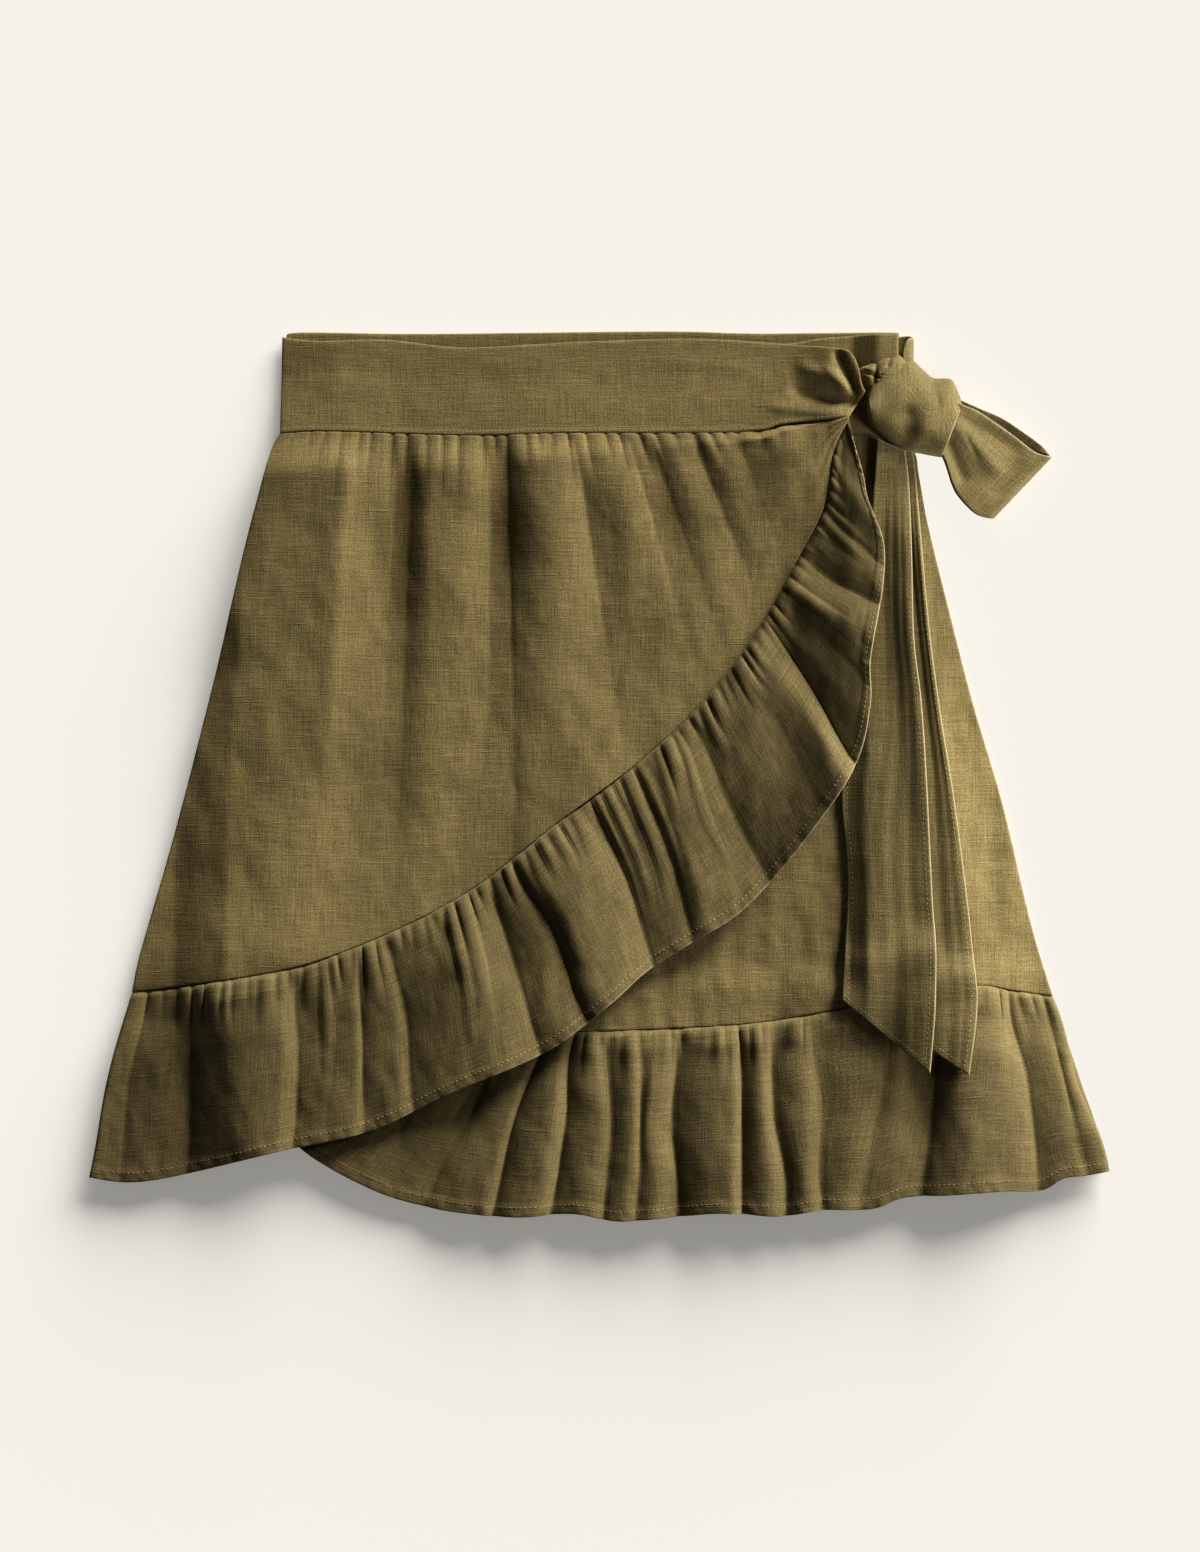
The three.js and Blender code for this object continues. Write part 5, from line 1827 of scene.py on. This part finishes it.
@dataclass
class Skirt:
    """The whole skirt, laid piece by piece from the floor up.

    Attributes:
        finishes: the material of each slot.
        layers: the heights of what has been laid.
    """

    finishes: dict[Slot, bpy.types.Material]
    layers: Layers = field(default_factory=Layers)

    def dress(
        self, cloth: Cloth, node: str, slot: Slot
    ) -> Cloth:
        """Args:
            cloth: the cloth.
            node: the node that it stands for.
            slot: its material slot.

        Returns:
            The same cloth.
        """
        made = self.attach(cloth.build(), node, slot)
        self.layers.press(cloth.sides()[0])
        return cloth

    def attach(self, made: bpy.types.Object, node: str, slot: Slot) -> bpy.types.Object:
        """Gives an object its body, slot and finish, and hides the part of the node that it stands
        for.

        Args:
            made: the object.
            node: the node that it stands for.
            slot: its material slot.

        Returns:
            The same object.
        """
        made.data.materials.append(self.finishes[slot])
        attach(made, BODY)
        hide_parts(node)
        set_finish(made, slot.value)
        return made

    def lay_back(self) -> list[StitchRow]:
        """Lays the strap and the back, face down on the floor.

        Returns:
            The waistband's stitches.
        """
        strap = Strap()
        self.dress(strap.cloth(), strap.node, Slot.TIE)
        band_cloth = self.lay_back_band()
        waist, seam = Outline(BACK_WAIST), Outline(BACK_SEAM[::-1])
        left, right = Outline(LEFT_SIDE), Outline(RIGHT_SIDE)

        def edges(across: np.ndarray, depth: np.ndarray) -> tuple[np.ndarray, ...]:
            """The back panel's edges.

            Args:
                across: the columns' shares.
                depth: the rows' shares.

            Returns:
                The upper, lower, left and right edge.
            """
            upper, lower = lowered(waist.at(across), GAP), lowered(seam.at(across), -GAP)
            return upper, lower, left.at(depth), right.at(depth)

        def relief(u: np.ndarray, v: np.ndarray, x: np.ndarray, d: np.ndarray) -> np.ndarray:
            """Soft rumples."""
            return 0.35 + Crumple(21, (40.0, 60.0), 0.3).at(x, d)

        panel = Panel("back_panel_cloth", "back_panel", 70, 50, WALL, relief)
        self.dress(panel.cloth(edges, level(0.0)), panel.node, Slot.PANEL)
        ruffle = Ruffle(
            "back_ruffle_cloth", "back_ruffle", BACK_SEAM, BACK_HEM,
            even_folds((0.0, 0.0), BACK_RUFFLE, 24, (0.5, 1.0)),
            (790.0, RUFFLE_DEPTH), seed=19, step=3.0, rows=26, crest=0.6,
        )
        self.dress(ruffle.cloth(level(0.0)), ruffle.node, Slot.RUFFLE)
        return [stitched_row(band_cloth, 7, length=1.5, pitch=2.1, width=0.4)]

    def lay_back_band(self) -> Cloth:
        """Lays the back waistband.


        Returns:
            The waistband.
        """

        def plain(u: np.ndarray, v: np.ndarray, x: np.ndarray, d: np.ndarray) -> np.ndarray:
            """No relief."""
            return 0 * x

        band = Panel("back_waistband_cloth", "back_waistband", 130, 20, DOUBLE, plain)
        rest = level(DOUBLE + 2 * GAP)
        cloth = band.cloth(waistband_edges(BACK_TOP, BACK_WAIST), rest)
        return self.dress(cloth, band.node, Slot.BAND)

    def lay_lower_wrap(self) -> list[StitchRow]:
        """Lays the lower wrap, whose pieces meet edge to edge.

        Returns:
            The hem's stitches.
        """
        below = self.layers.cover(reach=12.0, soft=7.0)
        rest = Puff(LOWER_RIDGE, reach=60.0, side=RIGHT_SIDE, inset=50.0).over(below)
        waist, seam, right = Outline(UNDER_WAIST), Outline(UNDER_SEAM), Outline(RIGHT_SIDE)
        corner = UNDER_CORNER / seam.length

        def edges(across: np.ndarray, depth: np.ndarray) -> tuple[np.ndarray, ...]:
            """The lower panel's edges.

            Args:
                across: the columns' shares.
                depth: the rows' shares.

            Returns:
                The upper, lower, left and right edge.
            """
            return (
                lowered(waist.at(across), GAP),
                lowered(seam.at(corner * (1 - across)), -GAP / 2),
                lowered(seam.at(1 - (1 - corner) * depth), -GAP / 2),
                right.at(depth),
            )

        def relief(u: np.ndarray, v: np.ndarray, x: np.ndarray, d: np.ndarray) -> np.ndarray:
            """Soft upright folds with small rumples.

            Args:
                u: the columns' shares.
                v: the rows' shares.
                x: x of the places.
                d: d of the places.

            Returns:
                The height over what is below.
            """
            rumple = rumpled(
                x, d,
                Crumple(24, (15.0, 150.0), 1.5),
                Crumple(25, (8.0, 40.0), 0.6),
                Crumple(27, (6.0, 8.0), 0.3),
            )
            return 1.2 + rumple * ease(4 * v) + gathers.at(u * UNDER_WIDTH, v)

        gathers = Gathers(UNDER_WIDTH, 26, rise=(0.3, 0.9), reach=(0.06, 0.2), long_reach=0.3)
        panel = Panel("under_wrap_panel_cloth", "under_wrap_panel", 190, 150, WALL, relief)
        self.dress(panel.cloth(edges, rest), panel.node, Slot.PANEL)
        frill = self.lay_lower_ruffle(rest)
        self.lay_lower_band(rest)
        return [self.hem_row(frill)]

    def lay_lower_ruffle(self, rest: Rest) -> Cloth:
        """Lays the lower wrap's ruffle, with even folds where it stays hidden.

        Args:
            rest: the height of what it lies on.

        Returns:
            The ruffle.
        """
        ends = Outline(UNDER_SEAM).length, Outline(UNDER_HEM).length
        hidden = even_folds(UNDER_FOLDS[-1], ends, 14, (1.2, 0.2))[1:]
        ruffle = Ruffle(
            "under_wrap_ruffle_cloth", "under_wrap_ruffle", UNDER_SEAM, UNDER_HEM,
            UNDER_FOLDS + hidden, (960.0, RUFFLE_DEPTH), seed=11, step=1.9, rows=54,
        )
        return self.dress(ruffle.cloth(rest), ruffle.node, Slot.RUFFLE)

    def lay_lower_band(self, rest: Rest) -> Cloth:
        """Lays the lower wrap's waistband.

        Args:
            rest: the height of what it lies on.

        Returns:
            The waistband.
        """

        def relief(u: np.ndarray, v: np.ndarray, x: np.ndarray, d: np.ndarray) -> np.ndarray:
            """Small rumples between its edges."""
            return 0.3 + Crumple(28, (12.0, 16.0), 0.3).at(x, d) * np.sin(np.pi * v)

        name = "under_wrap_waistband"
        band = Panel(f"{name}_cloth", name, 150, 26, DOUBLE, relief)
        cloth = band.cloth(waistband_edges(UNDER_TOP, UNDER_WAIST), rest)
        return self.dress(cloth, band.node, Slot.BAND)

    @staticmethod
    def hem_row(frill: Cloth) -> StitchRow:
        """The stitches along a ruffle's hem.

        Args:
            frill: the ruffle.

        Returns:
            The row of stitches.
        """
        depth = frill.flat[:, 0, 1]
        row = int(np.searchsorted(depth, depth[-1] - Ruffle.stitch_in))
        return stitched_row(frill, row, width=0.34)

    def lay_tails(self) -> list[StitchRow]:
        """Lays the tie's two tails, the rear one first.

        Returns:
            The stitches along their edges.
        """
        rows = []
        for key in ("rear", "front"):
            tail = Tail(key, f"tie_tail_{key}_cloth", f"tie_tail_{key}")
            cloth = tail.cloth(self.layers.cover(reach=9.0, soft=5.0))
            self.dress(cloth, tail.node, Slot.TIE)
            rows += [stitched_column(cloth, column, width=0.3) for column in (6, -7)]
            rows.append(stitched_row(cloth, -6, width=0.3))
        return rows

    def lay_upper_wrap(self) -> list[StitchRow]:
        """Lays the upper wrap, whose pieces meet edge to edge.

        Returns:
            The hem's and waistband's stitches.
        """
        below = self.layers.cover(reach=8.0, soft=14.0)
        rest = Puff(UPPER_RIDGE, reach=58.0, side=LEFT_SIDE, inset=50.0).over(below)
        panel = UpperPanel()
        self.dress(panel.cloth(rest), panel.node, Slot.PANEL)
        ruffle = Ruffle(
            "over_wrap_ruffle_cloth", "over_wrap_ruffle", OVER_SEAM, OVER_HEM, OVER_FOLDS,
            (740.0, RUFFLE_DEPTH), seed=3,
        )
        frill = self.dress(ruffle.cloth(rest), ruffle.node, Slot.RUFFLE)
        band = self.lay_upper_band(rest)
        return [self.hem_row(frill), stitched_row(band, -6, length=1.6, pitch=2.4, width=0.3)]

    def lay_upper_band(self, rest: Rest) -> Cloth:
        """Lays the upper wrap's waistband, which gathers into the knot.

        Args:
            rest: the height of what it lies on.

        Returns:
            The waistband.
        """

        def relief(u: np.ndarray, v: np.ndarray, x: np.ndarray, d: np.ndarray) -> np.ndarray:
            """Its rise towards the knot, the folds there, rumples and the seam below.

            Args:
                u: the columns' shares.
                v: the rows' shares.
                x: x of the places.
                d: d of the places.

            Returns:
                The height over what is below.
            """
            rise = 4.6 * ease((u - 0.78) * 5)
            rumple = rumpled(x, d, Crumple(35, (30.0, 15.0), 0.4), Crumple(36, (8.0, 7.0), 0.15))
            foot = 0.45 * ease((v - 0.94) / 0.04)
            return rise + creased(BAND_CREASES, x, d) + rumple * np.sin(np.pi * v) + foot + 0.3

        name = "over_wrap_waistband"
        band = Panel(f"{name}_cloth", name, 260, 44, DOUBLE, relief)
        cloth = band.cloth(waistband_edges(OVER_TOP, OVER_WAIST), rest)
        return self.dress(cloth, band.node, Slot.BAND)

    def tie_bow(self) -> list[StitchRow]:
        """Ties the knot and its loop.

        Returns:
            The stitches along their edges.
        """
        loop, knot, root = Loop(), Knot(), KnotRoot()
        loop_cloth = self.dress(loop.cloth(), loop.node, Slot.TIE)
        knot_cloth = self.dress(knot.cloth(), knot.node, Slot.TIE)
        self.dress(root.cloth(), root.node, Slot.TIE)
        loop_row = stitched_column(loop_cloth, 6, width=0.3)
        return [loop_row, stitched_column(knot_cloth, -7, width=0.3)]

    def build(self) -> None:
        """Lays everything in the order in which it lies."""
        sewing = {
            "back_waistband": self.lay_back(),
            "under_wrap_ruffle": self.lay_lower_wrap(),
            "tie_tail_front": self.lay_tails(),
            "over_wrap_ruffle": self.lay_upper_wrap(),
            "bow_loop": self.tie_bow(),
        }
        for node, rows in sewing.items():
            self.attach(sew(f"{node}_stitches", rows), node, Slot.THREAD)


@dataclass(frozen=True)
class Sun:
    """A broad far light that falls on some pieces only.

    Attributes:
        name: the light's name.
        energy: its strength.
        angle: how broad it looks, in degrees.
        source: the way towards it.
        colour: its colour.
    """

    name: str
    energy: float
    angle: float
    source: tuple[float, float, float]
    colour: tuple[float, float, float] = (1.0, 0.985, 0.96)

    def shine(self, pieces: Pieces, shades: Pieces = ()) -> None:
        """Lights the pieces.

        Args:
            pieces: what the light falls on.
            shades: what casts its shadow, or none to let everything do so.
        """
        data = bpy.data.lights.new(self.name, "SUN")
        data.energy = self.energy
        data.angle = math.radians(self.angle)
        data.color = self.colour
        made = bpy.data.objects.new(self.name, data)
        made.rotation_mode = "QUATERNION"
        made.rotation_quaternion = Vector(self.source).to_track_quat("Z", "Y")
        bpy.context.scene.collection.objects.link(made)
        lit_only(made, pieces)
        if shades:
            made.light_linking.blocker_collection = collected(f"shades_of_{self.name}", shades)


def collected(name: str, pieces: Pieces) -> bpy.types.Collection:
    """A collection of the pieces.

    Args:
        name: the collection's name.
        pieces: what goes into it.

    Returns:
        The collection.
    """
    made = bpy.data.collections.new(name)
    for piece in pieces:
        made.objects.link(piece)
    return made


def lit_only(light: bpy.types.Object, pieces: Pieces) -> None:
    """Lets a light fall on some pieces only."""
    light.light_linking.receiver_collection = collected(f"lit_by_{light.name}", pieces)


@dataclass(frozen=True)
class Studio:
    """The camera, the floor and the light.

    Attributes:
        eye: where the camera stands, in metres.
        lens: its focal length.
        floor_size: the floor's width.
        floor_tone: its colour.
        key: the light on the cloths.
        broad: the light on the floor.
        sky: the room's brightness.
        sky_tone: its colour.
        glow: the floor's own brightness, which keeps it pale.
        strip: the strip light's power.
        strip_at: where it stands.
        strip_size: its width and height.
    """

    eye: tuple[float, float, float] = (0.00028, -0.0003, 3.0)
    lens: float = 120.0
    floor_size: float = 8.0
    floor_tone: tuple[int, int, int] = (242, 239, 233)
    key: Sun = Sun("key", 7.9, 22.0, (0.56, 0.78, 0.28))
    broad: Sun = Sun("broad", 9.2, 54.0, (0.48, 0.86, 0.145))
    sky: float = 0.065
    sky_tone: tuple[float, float, float, float] = (0.97, 0.985, 1.0, 1.0)
    glow: float = 0.255
    strip: float = 3.4
    strip_at: tuple[float, float, float] = (0.5, 0.04, 0.12)
    strip_size: tuple[float, float] = (0.5, 0.12)

    def camera(self) -> None:
        """Looks straight down, as the photo does."""
        data = bpy.data.cameras.new("camera")
        data.lens = self.lens
        data.clip_end = 20.0
        made = bpy.data.objects.new("camera", data)
        made.location = self.eye
        bpy.context.scene.collection.objects.link(made)
        bpy.context.scene.camera = made

    def floor(self) -> bpy.types.Object:
        """A plain pale floor.

        Returns:
            The floor.
        """
        half = self.floor_size / 2
        corners = [(-half, -half, 0), (half, -half, 0), (half, half, 0), (-half, half, 0)]
        mesh = bpy.data.meshes.new("floor")
        mesh.from_pydata(corners, [], [(0, 1, 2, 3)])
        made = bpy.data.objects.new("floor", mesh)
        bpy.context.scene.collection.objects.link(made)
        finish = bpy.data.materials.new("floor")
        finish.use_nodes = True
        shader = finish.node_tree.nodes["Principled BSDF"]
        shader.inputs["Base Color"].default_value = linear(*self.floor_tone)
        shader.inputs["Roughness"].default_value = 1.0
        shader.inputs["Specular IOR Level"].default_value = 0.0
        shader.inputs["Emission Color"].default_value = linear(*self.floor_tone)
        shader.inputs["Emission Strength"].default_value = self.glow
        mesh.materials.append(finish)
        return made

    def surround(self) -> None:
        """A pale room all round."""
        world = bpy.data.worlds.new("studio")
        world.use_nodes = True
        background = world.node_tree.nodes["Background"]
        background.inputs["Color"].default_value = self.sky_tone
        background.inputs["Strength"].default_value = self.sky
        bpy.context.scene.world = world

    def light_side(self, cloths: Pieces) -> None:
        """A low strip light at the right, for the cloths alone.

        Args:
            cloths: what it falls on.
        """
        strip = bpy.data.lights.new("strip", "AREA")
        strip.shape = "RECTANGLE"
        strip.size, strip.size_y = self.strip_size
        strip.energy = self.strip
        made = bpy.data.objects.new("strip", strip)
        made.location = self.strip_at
        made.rotation_mode = "QUATERNION"
        made.rotation_quaternion = Vector(self.strip_at).to_track_quat("Z", "X")
        bpy.context.scene.collection.objects.link(made)
        lit_only(made, cloths)

    def build(self, cloths: Pieces) -> None:
        """Sets everything up.

        Args:
            cloths: the skirt's pieces.
        """
        self.camera()
        self.surround()
        shades = [piece for piece in cloths if "wrap" in piece.name or "back" in piece.name]
        self.broad.shine([self.floor()], shades)
        self.key.shine(cloths)
        self.light_side(cloths)
        view = bpy.context.scene.view_settings
        view.view_transform = "Standard"
        view.look = "Medium High Contrast"
        view.exposure = 0.0
        view.gamma = 1.0


def finishes() -> dict[Slot, bpy.types.Material]:
    """Makes the material of each slot.

    Returns:
        The materials by their slots.
    """
    weave, mottle = LinenWeave(), DyeMottle()
    linens = {
        Slot.PANEL: LinenFinish("linen_panel", (88, 75, 41), (122, 108, 70)),
        Slot.RUFFLE: LinenFinish("linen_ruffle", (76, 64, 34), (106, 94, 60)),
        # painted shade: the ruffles are the same linen as the panel, given a darker tone for the
        # shade they lie in
        Slot.BAND: LinenFinish("linen_band", (90, 77, 42), (124, 110, 72)),
        Slot.TIE: LinenFinish("linen_tie", (85, 73, 40), (119, 106, 69)),
        Slot.THREAD: LinenFinish("thread", (120, 107, 72), (146, 132, 96), relief=0.2),
    }
    return {slot: finish.material(weave, mottle) for slot, finish in linens.items()}


def triangles(piece: bpy.types.Object) -> int:
    """The number of triangles in a piece."""
    return sum(len(face.vertices) - 2 for face in piece.data.polygons)


def main() -> None:
    """Builds the studio and the skirt."""
    logging.basicConfig(level=logging.INFO, format="%(message)s")
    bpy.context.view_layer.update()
    Skirt(finishes()).build()
    pieces = [piece for piece in bpy.data.objects if "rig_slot" in piece]
    Studio().build(pieces)
    for piece in pieces:
        LOG.info("%s: %d triangles", piece.name, triangles(piece))


if __name__ == "__main__":
    main()
